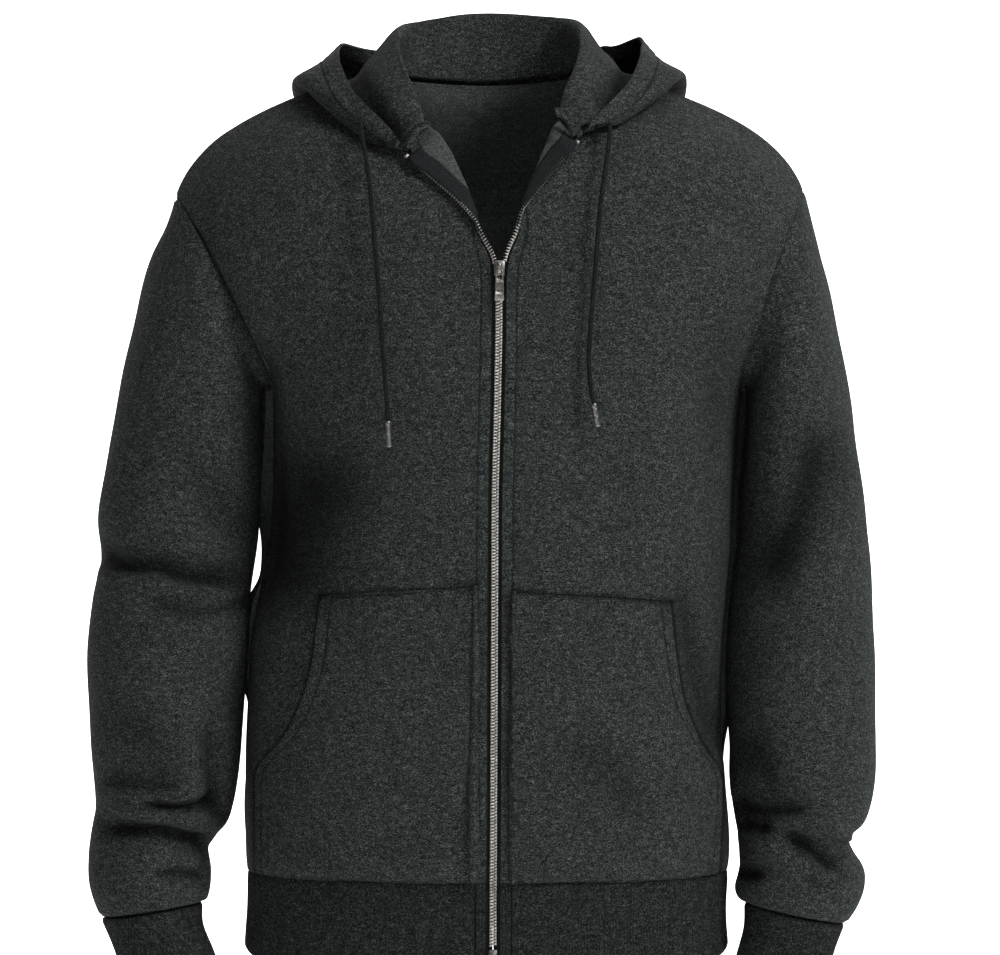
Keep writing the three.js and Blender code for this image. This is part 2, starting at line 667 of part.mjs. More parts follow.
// A sleeve or cuff ring in its own slanting plane
function ringPoints(ring, sides) {
  const points = [];
  const middle = new THREE.Vector3((ring.outX + ring.inX) / 2, ring.y, (ring.outZ + ring.inZ) / 2);
  const half = new THREE.Vector3((ring.outX - ring.inX) / 2, 0, (ring.outZ - ring.inZ) / 2);
  for (let i = 0; i < sides; i += 1) {
    const angle = (i / sides) * Math.PI * 2;
    const reach = Math.sin(angle) > 0 ? ring.back : -ring.front;
    const point = middle.clone().addScaledVector(half, Math.cos(angle));
    point.y += reach * Math.abs(Math.sin(angle));
    points.push(point);
  }
  return points;
}

// The sleeve's first ring is the armhole loop itself, met from the underarm round
function armholeRing(side) {
  const points = [];
  for (let i = 0; i < SLEEVE_SIDES; i += 1) {
    const turn = (i / SLEEVE_SIDES) * 360;
    const facing = turn < 180 ? 'back' : 'front';
    const degrees = turn < 180 ? 90 - turn : turn - 270;
    points.push(armholePoint(side, facing, degrees));
  }
  return points;
}

function ringTableRow(table, t) {
  const ring = {};
  Object.keys(table[0]).forEach((name) => { ring[name] = column(table, name, t); });
  return ring;
}

function sleeveGrid(side) {
  const table = side < 0 ? SLEEVE.right : SLEEVE.left;
  const grid = [];
  for (let j = 0; j < SLEEVE_RINGS; j += 1) {
    const t = (j / (SLEEVE_RINGS - 1)) * (table.length - 1);
    grid.push(ringPoints(ringTableRow(table, t), SLEEVE_SIDES));
  }
  const armhole = armholeRing(side);
  const start = armhole.map((p, i) => {
    const lead = grid[0][i].clone().sub(p).normalize();
    return p.clone().addScaledVector(lead, ARMHOLE_SEAM_GAP);
  });
  return orientTube([start, ...grid], side);
}

function orientTube(grid, side) {
  return side === RIGHT ? grid : grid.map((row) => [row[0], ...row.slice(1).reverse()]);
}

function cuffGrid(side) {
  const table = side < 0 ? CUFF.right : CUFF.left;
  return orientTube(table.map((ring) => ringPoints(ring, SLEEVE_SIDES)), side);
}

// The waistband runs from the wearer's left zip edge round the back to the right one
function waistbandGrid() {
  const grid = [];
  for (let j = 0; j < WAISTBAND_ROWS; j += 1) {
    const z = THREE.MathUtils.lerp(WAISTBAND_BOTTOM_Z, HEM_SEAM_Z, j / (WAISTBAND_ROWS - 1));
    const quarter = (side, facing) => {
      const row = [];
      for (let i = 0; i <= WAISTBAND_COLUMNS; i += 1) {
        row.push(torsoHalf(side, facing, z, i / WAISTBAND_COLUMNS));
      }
      if (facing === 'front') {
        const edge = row[WAISTBAND_COLUMNS].clone();
        edge.x -= side * (FOLD_OUT - TEETH_OUT - CLOTH_BACK_FROM_TEETH);
        row.push(edge);
      }
      return row;
    };
    grid.push([
      ...quarter(LEFT, 'front').reverse(),
      ...quarter(LEFT, 'back').slice(1),
      ...quarter(RIGHT, 'back').reverse().slice(1),
      ...quarter(RIGHT, 'front').slice(1),
    ]);
  }
  return grid;
}

// The hood, from the wearer's right zip top round the back to the left one
function hoodSection(row, side, share) {
  return HOOD_POINTS.map((name) => {
    const p = row[name];
    const fade = side === LEFT ? share : 0;
    return [
      NECK_X + side * (p.out + HOOD_LEFT_FRONT.out * fade),
      p.y + HOOD_LEFT_FRONT.y * fade,
      p.z + HOOD_LEFT_FRONT.z * fade,
    ];
  });
}

function hoodGrid() {
  const half = HOOD.length - 1;
  const sections = [];
  for (let i = 0; i <= half; i += 1) sections.push(hoodSection(HOOD[i], RIGHT, 1 - i / half));
  for (let i = half - 1; i >= 0; i -= 1) sections.push(hoodSection(HOOD[i], LEFT, 1 - i / half));
  const grid = [];
  for (let k = 0; k <= HOOD_STEPS_ACROSS; k += 1) {
    const across = (k / HOOD_STEPS_ACROSS) * (HOOD_POINTS.length - 1);
    const row = [];
    for (let i = 0; i <= HOOD_STEPS_ROUND * 2; i += 1) {
      const t = (i / (HOOD_STEPS_ROUND * 2)) * (sections.length - 1);
      const points = HOOD_POINTS.map((_, n) => curvePoint(sections.map((section) => section[n]), t));
      row.push(curvePoint(points.map((p) => p.toArray()), across));
    }
    grid.push(row);
  }
  return grid;
}

// How far along a front's section, from its side seam, a given place across lies
function frontShare(side, x, z) {
  let low = 0;
  let high = 1;
  for (let step = 0; step < HALVINGS; step += 1) {
    const middle = (low + high) / 2;
    const beyond = (torsoHalf(side, 'front', z, middle).x - x) * side > 0;
    if (beyond) low = middle;
    else high = middle;
  }
  return (low + high) / 2;
}

function pocketGrid(side) {
  const table = side < 0 ? POCKET.right : POCKET.left;
  const topZ = table[table.length - 1].z;
  const heights = [];
  for (let j = 0; lowerHeight(j) < topZ - POCKET_EASE; j += POCKET_ROW_STEP) heights.push(lowerHeight(j));
  heights.push(topZ);
  const grid = heights.map((height, j) => {
    const z = Math.max(height, table[0].z);
    const edge = column(table, 'edge', rowPlace(table, 'z', z));
    const start = frontShare(side, edge, z);
    const row = [];
    for (let i = 0; i <= POCKET_COLUMNS; i += 1) {
      const share = i / POCKET_COLUMNS;
      const rise = j === heights.length - 1 ? POCKET_TOP_RISE * share : 0;
      row.push(torsoHalf(side, 'front', z + rise, THREE.MathUtils.lerp(start, 1, share)));
    }
    return row;
  });
  const lift = FLEECE / 2 + POCKET_EASE + POCKET_FLEECE / 2;
  return offsetGrid(outwardRows(grid, side), lift);
}

// The point at a length back from the end of a row
function backAlong(row, length) {
  let left = length;
  for (let i = row.length - 1; i > 0; i -= 1) {
    const step = row[i].distanceTo(row[i - 1]);
    if (step >= left) return row[i].clone().lerp(row[i - 1], left / step);
    left -= step;
  }
  return row[0].clone();
}

// The tape lies on the inside of a front's edge and runs on down inside the waistband
function tapeGrid(side, front) {
  const last = FRONT_COLUMNS + EDGE_COLUMNS;
  const inset = FLEECE / 2 + TAPE_EASE + TAPE / 2;
  const inner = outwardRows(offsetGrid(outwardRows(front.grid, side), -inset), side);
  const rows = [];
  const waistInset = RIB / 2 + TAPE_EASE + TAPE / 2;
  WAIST_TAPE_SHARES.forEach((share) => {
    const z = THREE.MathUtils.lerp(WAISTBAND_BOTTOM_Z, HEM_SEAM_Z, share);
    const fold = torsoHalf(side, 'front', z, 1);
    const zip = fold.x - side * FOLD_OUT;
    const y = fold.y + waistInset;
    const clothOut = TEETH_OUT + CLOTH_BACK_FROM_TEETH;
    const outs = [clothOut + TAPE_HIDDEN, clothOut, TEETH_OUT + TAPE_BACK_FROM_TEETH];
    rows.push(outs.map((out) => new THREE.Vector3(zip + side * out, y, z)));
  });
  front.grid.forEach((row, j) => {
    if (!front.ends[j].open) return;
    const lead = front.ends[j].teeth.clone().sub(row[last]).normalize();
    const free = inner[j][last].clone().addScaledVector(lead, CLOTH_BACK_FROM_TEETH - TAPE_BACK_FROM_TEETH);
    const step = row[last].distanceTo(row[last - 1]);
    const hidden = row[last].z < TAPE_WIDE_BELOW_Z ? TAPE_HIDDEN : step;
    rows.push([backAlong(inner[j], hidden), inner[j][last], free]);
  });
  return rows;
}

// The two rows of teeth stand apart above the slider
function openChainGrid(side, front) {
  const rows = [];
  front.grid.forEach((row, j) => {
    const ends = front.ends[j];
    if (!ends.open || ends.teeth.z < CHAIN.openStart) return;
    const last = FRONT_COLUMNS + EDGE_COLUMNS;
    const lead = ends.teeth.clone().sub(row[last]).normalize();
    const back = ends.teeth.clone().addScaledVector(lead, -CHAIN.openHalf);
    rows.push([back, ends.teeth.clone().addScaledVector(lead, CHAIN.openHalf)]);
  });
  return rows;
}

// The middle of the closed zip at a given height
function zipPoint(z) {
  const fold = torsoHalf(LEFT, 'front', Math.min(z, UNDERARM_Z), 1);
  const low = new THREE.Vector3(fold.x - FOLD_OUT, fold.y - CHAIN.forward, z);
  if (z <= UNDERARM_Z) return low;
  const middles = [low.toArray()];
  const heights = [{ z: UNDERARM_Z }];
  for (let i = 0; i < CLOSED_OPENING_ROWS; i += 1) {
    const middle = vec(OPENING.right[i].teeth).add(vec(OPENING.left[i].teeth)).multiplyScalar(0.5);
    middle.y -= CHAIN.forward;
    middles.push(middle.toArray());
    heights.push({ z: middle.z });
  }
  return curvePoint(middles, rowPlace(heights, 'z', z));
}

// Below the slider the teeth are engaged in one strip
function closedChainGrid() {
  const rows = [];
  const low = WAISTBAND_BOTTOM_Z + ZIP_BOX.height + 2 * SEAM_GAP;
  const high = SLIDER.bottom - SEAM_GAP;
  for (let j = 0; j <= CHAIN_ROWS; j += 1) {
    const z = THREE.MathUtils.lerp(low, high, j / CHAIN_ROWS);
    const { x, y } = zipPoint(z);
    rows.push([new THREE.Vector3(x - CHAIN.half, y, z), new THREE.Vector3(x + CHAIN.half, y, z)]);
  }
  return rows;
}

function boxBetween(low, high) {
  const size = vec(high).sub(vec(low));
  const box = new THREE.BoxGeometry(size.x, size.y, size.z);
  const middle = vec(low).add(vec(high)).multiplyScalar(0.5);
  return box.translate(middle.x, middle.y, middle.z);
}

// A flat outline in X and Z, given a thickness along Y
function plate(outline, front, depth) {
  const shape = new THREE.Shape(outline.map(([x, z]) => new THREE.Vector2(x, z)));
  const geometry = new THREE.ExtrudeGeometry(shape, { depth, bevelEnabled: false });
  return geometry.rotateX(Math.PI / 2).translate(0, front + depth, 0);
}

const wasm = await Module();
wasm.setup();

function solid(geometry) {
  const bare = geometry.clone();
  bare.deleteAttribute('normal');
  bare.deleteAttribute('uv');
  const merged = mergeVertices(bare, MERGE_DISTANCE);
  return new wasm.Manifold(new wasm.Mesh({
    numProp: 3,
    vertProperties: merged.attributes.position.array,
    triVerts: Uint32Array.from(merged.index.array),
  }));
}

function geometryOf(manifold) {
  const mesh = manifold.getMesh();
  const geometry = new THREE.BufferGeometry();
  geometry.setAttribute('position', new THREE.Float32BufferAttribute(mesh.vertProperties, 3));
  geometry.setIndex(Array.from(mesh.triVerts));
  geometry.computeVertexNormals();
  return geometry;
}

// The slider's body with the bridge that holds the pull tab
function sliderGeometry() {
  const { x, front, back, top, bottom, topHalf, bottomHalf } = SLIDER;
  const outline = [
    [x - bottomHalf, bottom], [x + bottomHalf, bottom], [x + topHalf, top], [x - topHalf, top],
  ];
  const body = solid(plate(outline, front, back - front));
  const arch = solid(boxBetween(
    [x - BRIDGE.half, BRIDGE.front, BRIDGE.bottom],
    [x + BRIDGE.half, front + BRIDGE.room, BRIDGE.top],
  ));
  const hollow = solid(boxBetween(
    [x - 2 * BRIDGE.half, BRIDGE.front + BRIDGE.bar, BRIDGE.bottom + BRIDGE.leg],
    [x + 2 * BRIDGE.half, front - BRIDGE.room, BRIDGE.top - BRIDGE.leg],
  ));
  return geometryOf(body.add(arch.subtract(hollow)));
}

// The pull tab hangs from the bridge by the bar above its window
function tabGeometry() {
  const top = TAB.bar;
  const outline = [
    [-TAB.topHalf, top], [-TAB.topHalf, -TAB_WINDOW.length], [-TAB.half, -TAB.length],
    [TAB.half, -TAB.length], [TAB.topHalf, -TAB_WINDOW.length], [TAB.topHalf, top],
  ];
  const window = (half, high, low) => solid(boxBetween([-half, -TAB.depth, low], [half, TAB.depth, high]));
  return geometryOf(solid(plate(outline, -TAB.depth / 2, TAB.depth))
    .subtract(window(TAB_WINDOW.half, -TAB.bar, -TAB_WINDOW.length))
    .subtract(window(TAB_SLOT.half, TAB_SLOT.top, TAB_SLOT.bottom)));
}

function stopGeometry(side) {
  const end = teethLine(side, (side < 0 ? OPENING.right : OPENING.left).length - 1);
  const below = teethLine(side, (side < 0 ? OPENING.right : OPENING.left).length - 1.2);
  const along = end.clone().sub(below).normalize();
  const box = new THREE.BoxGeometry(STOP.across, STOP.depth, STOP.along);
  const turn = new THREE.Quaternion().setFromUnitVectors(new THREE.Vector3(0, 0, 1), along);
  box.applyQuaternion(turn);
  const middle = end.addScaledVector(along, STOP.along / 2 + STOP.gap);
  return box.translate(middle.x, middle.y, middle.z);
}

function polygon(diameter, sides) {
  const points = [];
  for (let i = 0; i < sides; i += 1) {
    const angle = (i / sides) * Math.PI * 2;
    points.push(new THREE.Vector2(Math.cos(angle) * diameter / 2, Math.sin(angle) * diameter / 2));
  }
  return new THREE.Shape(points);
}

function cordGeometry(points) {
  const extrudePath = new THREE.CatmullRomCurve3(points.map(vec));
  return new THREE.ExtrudeGeometry(polygon(CORD_DIAMETER, 8), { steps: CORD_STEPS, extrudePath });
}

function tipGeometry(points, length) {
  const path = new THREE.CatmullRomCurve3(points.map(vec));
  const way = path.getTangent(1);
  const start = path.getPoint(1).addScaledVector(way, SEAM_GAP);
  const extrudePath = new THREE.LineCurve3(start, start.clone().addScaledVector(way, length));
  return new THREE.ExtrudeGeometry(polygon(TIP_DIAMETER, 12), { steps: 1, extrudePath });
}

[RIGHT, LEFT].forEach((side) => {
  const name = side === RIGHT ? 'right' : 'left';
  const front = frontGrid(side);
  const cut = trimmed(front.grid, { first: SIDE_GAP, bottom: SEAM_GAP, top: SHOULDER_GAP });
  addMesh(`front_${name}`, wall(outwardRows(cut, side), FLEECE), 'fleece');
  addMesh(`sleeve_${name}`, wall(sleeveGrid(side), FLEECE, true), 'fleece');
  addMesh(`cuff_${name}`, wall(cuffGrid(side), RIB, true), 'rib');
  addMesh(`pocket_${name}`, wall(pocketGrid(side), POCKET_FLEECE), 'fleece');
  addMesh(`zip_tape_${name}`, wall(outwardRows(tapeGrid(side, front), side), TAPE), 'tape');
  addMesh(`zip_chain_${name}`, wall(outwardRows(openChainGrid(side, front), side), CHAIN.depth), 'metal');
  addMesh(`zip_stop_${name}`, stopGeometry(side), 'metal');
  addMesh(`cord_${name}`, cordGeometry(CORD[name]), 'cord');
  addMesh(`cord_tip_${name}`, tipGeometry(CORD[name], TIP_LENGTH[name]), 'metal');
});
const back = trimmed(backGrid(), { first: SIDE_GAP, last: SIDE_GAP, bottom: SEAM_GAP, top: SHOULDER_GAP });
addMesh('back', wall(back, FLEECE), 'fleece');
addMesh('waistband', wall(trimmed(waistbandGrid(), { top: SEAM_GAP }), RIB), 'rib');
addMesh('hood', wall(hoodGrid(), HOOD_FLEECE), 'fleece');
addMesh('zip_chain_closed', wall(closedChainGrid(), CHAIN.depth), 'metal');
addMesh('zip_slider', sliderGeometry(), 'metal');
const tab = addMesh('zip_pull_tab', tabGeometry(), 'metal');
tab.position.set(SLIDER.x, TAB.pivotY, TAB.pivotZ);
const zipFoot = torsoHalf(LEFT, 'front', WAISTBAND_BOTTOM_Z, 1);
const zipBoxFront = zipFoot.y - CHAIN.forward - ZIP_BOX.depth / 2;
addMesh('zip_box', boxBetween(
  [zipFoot.x - FOLD_OUT - ZIP_BOX.half, zipBoxFront, WAISTBAND_BOTTOM_Z],
  [zipFoot.x - FOLD_OUT + ZIP_BOX.half, zipBoxFront + ZIP_BOX.depth, WAISTBAND_BOTTOM_Z + ZIP_BOX.height],
), 'metal');

export default group;
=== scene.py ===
# Looks of a worn zip-up hoodie in charcoal heather fleece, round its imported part.
# The tables are in millimetres in the part's own frame, and the meshes in metres.
# The front faces -Y, and right and left are the wearer's, so right is at -X.

import math

import bpy
import numpy as np
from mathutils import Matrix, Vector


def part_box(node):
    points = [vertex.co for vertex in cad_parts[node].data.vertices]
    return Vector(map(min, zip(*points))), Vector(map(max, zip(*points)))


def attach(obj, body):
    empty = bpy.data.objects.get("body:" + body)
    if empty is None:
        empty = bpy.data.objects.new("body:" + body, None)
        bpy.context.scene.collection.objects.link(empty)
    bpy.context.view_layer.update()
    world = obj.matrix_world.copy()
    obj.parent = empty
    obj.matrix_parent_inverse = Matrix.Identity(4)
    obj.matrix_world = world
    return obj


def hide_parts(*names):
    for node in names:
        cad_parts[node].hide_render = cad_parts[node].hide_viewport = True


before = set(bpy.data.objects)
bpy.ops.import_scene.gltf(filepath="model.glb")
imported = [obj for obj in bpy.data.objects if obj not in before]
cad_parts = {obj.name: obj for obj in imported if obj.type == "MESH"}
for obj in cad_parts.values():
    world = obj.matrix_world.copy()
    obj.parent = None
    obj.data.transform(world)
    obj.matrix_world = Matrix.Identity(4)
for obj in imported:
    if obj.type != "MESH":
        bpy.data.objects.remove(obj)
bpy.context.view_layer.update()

# Sizes shared with the part
MM = 0.001
RIGHT = -1
LEFT = 1
NAMES = {RIGHT: "right", LEFT: "left"}
FLEECE = 2.2
RIB = 2.4
HOOD_FLEECE = 2.6
POCKET_FLEECE = 2.0
TAPE = 0.9
NECK_X = -6
FRONT_COLUMNS = 17
EDGE_COLUMNS = 3
LOWER_ROWS = 14
UPPER_ROWS = 12
BACK_COLUMNS = 9
SLEEVE_SIDES = 18
SLEEVE_RINGS = 24
WAISTBAND_COLUMNS = 8
ROW_SPREAD = 1.3
SMOOTHING_ROUNDS = 10
SMOOTHING_START = LOWER_ROWS - 3
HALVINGS = 24
UNDERARM_Z = -236
HEM_SEAM_Z = -636
WAISTBAND_BOTTOM_Z = -693
SIDE_HANDLE = 0.62
CENTRE_HANDLE = 0.60
FOLD_OUT = 13.5
TEETH_OUT = 1.2
CLOTH_BACK_FROM_TEETH = 4.6
TAPE_BACK_FROM_TEETH = 3.0
TAPE_EASE = 0.5
TAPE_END_GAP = 0.3
TAPE_BACKS = (10.0, 7.5, 5.0, 2.5, 0.0)
WAIST_TAPE_SHARES = (-0.15, 0.5, 0.93)
FOLD_LEAD = 0.55
NECK_EDGE_STUB = 2.5
CHEST_FULLNESS = 7
BACK_FULLNESS = 12
CHAIN_FORWARD = -0.6
CLOSED_OPENING_ROWS = 3


def table(names, rows):
    """Named columns of numbers"""
    return {name: np.array([row[i] for row in rows], float) for i, name in enumerate(names.split())}


# Torso sections below the arms: half outlines, zip line, foremost and rearmost points
TORSO = table("z right left zip front back", [
    (-700, -203.5, 190.0, -1.5, -122, 118),
    (-650, -201.0, 187.5, -1.4, -122, 118),
    (-622, -203.0, 190.5, -1.2, -129, 124),
    (-580, -203.8, 189.0, -1.0, -132, 124),
    (-520, -202.8, 185.5, -0.7, -132, 120),
    (-455, -199.5, 184.5, -0.4, -130, 113),
    (-395, -193.5, 189.5, -0.1, -129, 110),
    (-330, -188.0, 195.5, 0.2, -130, 113),
    (-280, -184.5, 198.5, 1.4, -131, 118),
    (-236, -183.0, 200.5, 2.4, -131, 121),
])

# Armhole loops: shoulder tip, underarm, reach to the front and back, bow of the seam's front
ARMHOLE = {
    RIGHT: {"tip": (-262, 2, -84), "pit": (-183, 0, -236), "front": 66, "back": 76, "bow": 6},
    LEFT: {"tip": (253, 2, -80), "pit": (200.5, 0, -236), "front": 66, "back": 76, "bow": 4},
}
SHOULDER = {
    RIGHT: {"tip_handle": (12, 0, 52), "neck_handle": (-79, -2, -4), "neck": (-86, 8, 14)},
    LEFT: {"tip_handle": (-10, 0, 50), "neck_handle": (72, -2, -2), "neck": (74, 8, 16)},
}

# Front edges above the slider. fold is the line where the cloth turns, teeth the zip's line
OPENING = {
    RIGHT: {
        "fold": [(-11, -131, -200), (-11, -131, -165), (-12.5, -129, -143), (-14, -125, -124),
                 (-16, -118, -106), (-23, -110, -87), (-31, -103, -70.5), (-40.5, -97, -52),
                 (-52, -91, -36)],
        "teeth": [(1.8, -131.5, -200), (2.0, -132, -165), (0.8, -131.5, -141), (-8.5, -129, -122),
                  (-18, -127, -106.5), (-30.5, -120, -93), (-43, -115, -82), (-55, -110, -71.5),
                  (-68.5, -105, -59)],
    },
    LEFT: {
        "fold": [(16.5, -131, -200), (17.5, -131, -165), (19, -129, -143), (21.5, -125, -122),
                 (24, -118, -99), (30.5, -110, -80), (38, -103, -62), (45, -97, -46),
                 (52, -91, -31)],
        "teeth": [(4.4, -131.5, -200), (4.6, -132, -165), (7, -131.5, -139), (16, -129, -117.5),
                  (21.5, -127, -102), (30.5, -120, -90), (42, -115, -75), (53.5, -110, -61),
                  (64, -105, -48)],
    },
}
NECKLINE = {
    RIGHT: [(-72, -62, -20), (-82, -34, -4)],
    LEFT: [(66, -62, -15), (72, -34, -1)],
}
BACK_NECK_SHARE = 0.62
BACK_NECK_SIDE_HANDLE = (0, 38, 3)
BACK_NECK_MIDDLE_HANDLE = 42
BACK_LINE = [(121, -236), (123, -150), (117, -90), (104, -40), (78, 14)]

# Sleeve rings below the armhole, outer and inner edge of each, and its reach to front and back
RING = "out_x out_z in_x in_z front back y"
SLEEVE = {
    RIGHT: table(RING, [
        (-269, -108, -190.5, -240, 72, 79, 4), (-284, -145, -192.5, -268, 73, 80, 5),
        (-296, -191, -193.5, -293, 72, 79, 6), (-307, -242, -194, -324, 70, 79, 6),
        (-317, -295, -195, -352, 67, 76, 5), (-324.5, -344, -196.5, -374, 67, 73, 3),
        (-323, -379, -199, -400, 66, 70, 0), (-329.5, -416, -202.5, -435, 68, 70, -4),
        (-332, -463, -205, -476, 66, 68, -8), (-331, -500, -207, -514, 62, 66, -11),
        (-328, -541, -209.5, -549, 59, 62, -14), (-324.5, -578, -214, -577, 57, 59, -16),
        (-327, -596, -220.5, -596, 54, 56, -17), (-330.5, -615, -234.5, -611, 51, 53, -18),
        (-331.5, -637, -233, -634, 52, 53, -19), (-328, -654, -234, -652, 49, 50, -20),
        (-320.5, -671, -238.5, -659, 44, 45, -20),
    ]),
    LEFT: table(RING, [
        (262, -112, 207.5, -240, 72, 79, 4), (272, -156, 206, -271, 73, 80, 5),
        (282, -205, 204.5, -299, 72, 79, 6), (289.5, -250, 202.5, -328, 70, 79, 6),
        (297, -298, 200.5, -357, 67, 76, 5), (303.5, -348, 196.5, -389, 67, 73, 3),
        (306.5, -393, 193.5, -418, 66, 70, 0), (309, -447, 190.5, -459, 68, 70, -4),
        (310, -496, 190.5, -500, 66, 68, -8), (310, -533, 192.5, -533, 62, 66, -11),
        (309, -566, 193, -563, 59, 62, -14), (302.5, -592, 196, -588, 57, 59, -16),
        (287.5, -609, 200, -609, 52, 54, -17), (297, -626, 201.5, -626, 53, 54, -18),
        (301, -640, 199, -640, 52, 53, -19), (297, -658, 197, -651, 49, 50, -20),
        (285, -676, 203.5, -659, 44, 45, -20),
    ]),
}
CUFF = {
    RIGHT: table(RING, [
        (-319.2, -672.6, -239.6, -660.2, 43, 44, -20), (-311, -692, -239, -678, 39, 40, -21),
        (-304, -712, -230, -700, 38, 39, -23), (-296, -735, -222, -722, 37, 38, -25),
    ]),
    LEFT: table(RING, [
        (284, -677.6, 204.4, -660.4, 43, 44, -20), (277, -695, 204, -680, 39, 40, -21),
        (271, -714, 199, -700, 38, 39, -23), (264, -737, 193, -722, 37, 38, -25),
    ]),
}

# Hood stations from the zip's top to the middle of the back, each with six points of
# distance from the neck's middle plane, y and z, from the neck seam to the free rim
HOOD = [
    [(48, -90, -32), (51, -92, -31), (55, -95.5, -34.5), (59, -99.5, -40), (62, -103, -46), (64, -106, -52)],
    [(56, -78, -24), (55, -79, -14), (65, -85, -18), (81, -93, -38), (89, -94, -37), (84, -92, -29)],
    [(66, -62, -15.5), (63, -63, 6), (80, -67, -5), (105, -73, -26), (115, -71, -16), (106, -67, -6)],
    [(76, -34, -1.5), (70, -35, 28), (94, -40, 8), (128, -46, -8), (139, -44, 2), (116, -38, 12)],
    [(80, 8, 17), (73, 8, 49), (102, 8, 21), (144, 6, 8), (157.5, 6, 13), (121, 4, 32)],
    [(58, 55, 18.5), (68, 62, 65), (104, 94, 8), (138, 122, -44), (150, 120, -10), (116, 88, 44)],
    [(31, 71.5, 18), (38, 87, 70), (56, 138, -70), (74, 164, -136), (90, 177, -70), (66, 138, 45)],
    [(0, 78, 17), (0, 96, 72), (0, 140, -108), (0, 168, -174), (0, 193, -96), (0, 156, 40)],
]
HOOD_LEFT_FRONT = (8, 0, 10)
HOOD_STEPS_ROUND = 14
HOOD_STEPS_ACROSS = 12

# Pocket outlines on the fronts, from the hem seam up to the top seam
POCKET = {
    RIGHT: table("z edge", [
        (-634, -190), (-574, -190.5), (-548, -188), (-524, -169), (-500, -155.5),
        (-473, -146.5), (-445, -142), (-408, -140),
    ]),
    LEFT: table("z edge", [
        (-634, 178), (-580, 180), (-553, 179), (-520, 162), (-492, 149.5),
        (-468, 145), (-445, 142), (-412, 139.5),
    ]),
}
POCKET_TOP_RISE = 8.5
POCKET_COLUMNS = 13
POCKET_ROW_STEP = 0.5
POCKET_EASE = 1.25

# Drawstrings, listed from under the hood's edge to the free end
CORD_DIAMETER = 4
CORD = {
    RIGHT: [
        (-107.2, -87.7, -31.6), (-106, -102, -42), (-103, -112, -58), (-99.5, -122, -80),
        (-97, -130, -104), (-94.5, -135.5, -135), (-91.5, -136.5, -170), (-88.5, -136, -213),
        (-86, -136, -245), (-84.5, -135.5, -269),
    ],
    LEFT: [
        (91.6, -94.8, -31.0), (91.5, -106, -42), (90, -114, -54), (87, -122, -74),
        (83.5, -131, -100), (80.5, -136.5, -135), (77.5, -137, -172), (74.5, -136.5, -215),
        (75.5, -136.5, -238), (78.4, -136, -255),
    ],
}
TIP_LENGTH = {RIGHT: 21, LEFT: 19}
TIP_DIAMETER = 4.6

# Camera of the photograph's view, and the photograph's own width and middle in pixels
CAMERA_DISTANCE = 3.8
CAMERA_X = 0.0041
CAMERA_Z = -0.3136
VIEW_WIDTH = 0.82
SENSOR = 36
PICTURE_WIDTH = 1000
PICTURE_MIDDLE = (500, 477.5)

# Small values that keep a division by zero away
TINY = 1e-9
SMALL = 1e-3


def row_value(values, t):
    """Smooth values between the rows of a table, at places t counted in rows"""
    values = np.asarray(values, float)
    t = np.asarray(t, float)
    last = len(values) - 1
    i = np.clip(np.floor(t).astype(int), 0, last - 1)
    f = (t - i).reshape(t.shape + (1,) * (values.ndim - 1))
    a, b = values[i], values[i + 1]
    slope_a = (b - values[np.maximum(i - 1, 0)]) / 2
    slope_b = (values[np.minimum(i + 2, last)] - a) / 2
    f2, f3 = f * f, f * f * f
    return (a * (2 * f3 - 3 * f2 + 1) + slope_a * (f3 - 2 * f2 + f)
            + b * (3 * f2 - 2 * f3) + slope_b * (f3 - f2))


def row_place(values, value):
    """The place of a value in a rising or falling column, counted in rows"""
    up = values[-1] > values[0]
    last = len(values) - 1
    for i in range(last):
        a, b = values[i], values[i + 1]
        inside = value <= b if up else value >= b
        if inside or i == last - 1:
            return i + (value - a) / (b - a)
    return last


def bezier(a, b, c, d, t):
    t = np.asarray(t, float)[..., None]
    s = 1 - t
    a, b, c, d = (np.asarray(p, float) for p in (a, b, c, d))
    return a * s ** 3 + 3 * b * s * s * t + 3 * c * s * t * t + d * t ** 3


def unit(v):
    return v / np.maximum(np.linalg.norm(v, axis=-1, keepdims=True), TINY)


def torso_half(side, facing, z, s):
    """One half of a torso section, from the side seam (s = 0) to the middle (s = 1)"""
    t = row_place(TORSO["z"], z)
    side_x = row_value(TORSO[NAMES[side]], t)
    zip_x = row_value(TORSO["zip"], t)
    depth = row_value(TORSO[facing], t)
    middle_x = zip_x + side * FOLD_OUT if facing == "front" else zip_x
    centre_x = middle_x + (side_x - middle_x) * CENTRE_HANDLE
    handles = (side_x, depth * SIDE_HANDLE, z), (centre_x, depth, z)
    return bezier((side_x, 0, z), *handles, (middle_x, depth, z), s)


def fold_point(side, z):
    """Where a front turns in beside the closed zip"""
    return torso_half(side, "front", z, np.array([1.0]))[0]


def armhole_point(side, facing, degrees):
    """The armhole loop: angle -90 is the underarm, 90 the shoulder tip"""
    loop = ARMHOLE[side]
    angle = np.radians(np.asarray(degrees, float))[..., None]
    tip, pit = np.array(loop["tip"], float), np.array(loop["pit"], float)
    middle, half = (tip + pit) / 2, (tip - pit) / 2
    reach = -loop["front"] if facing == "front" else loop["back"]
    bow = loop["bow"] if facing == "front" else 0
    bow_way = -np.sign(half[2]) * unit(np.array([half[2], 0, -half[0]]))
    point = middle + half * np.sin(angle) + np.array([0, reach, 0]) * np.cos(angle)
    return point + bow_way * side * bow * np.cos(angle)


def shoulder_point(side, s):
    seam = SHOULDER[side]
    a, d = np.array(ARMHOLE[side]["tip"], float), np.array(seam["neck"], float)
    return bezier(a, a + seam["tip_handle"], d + seam["neck_handle"], d, s)


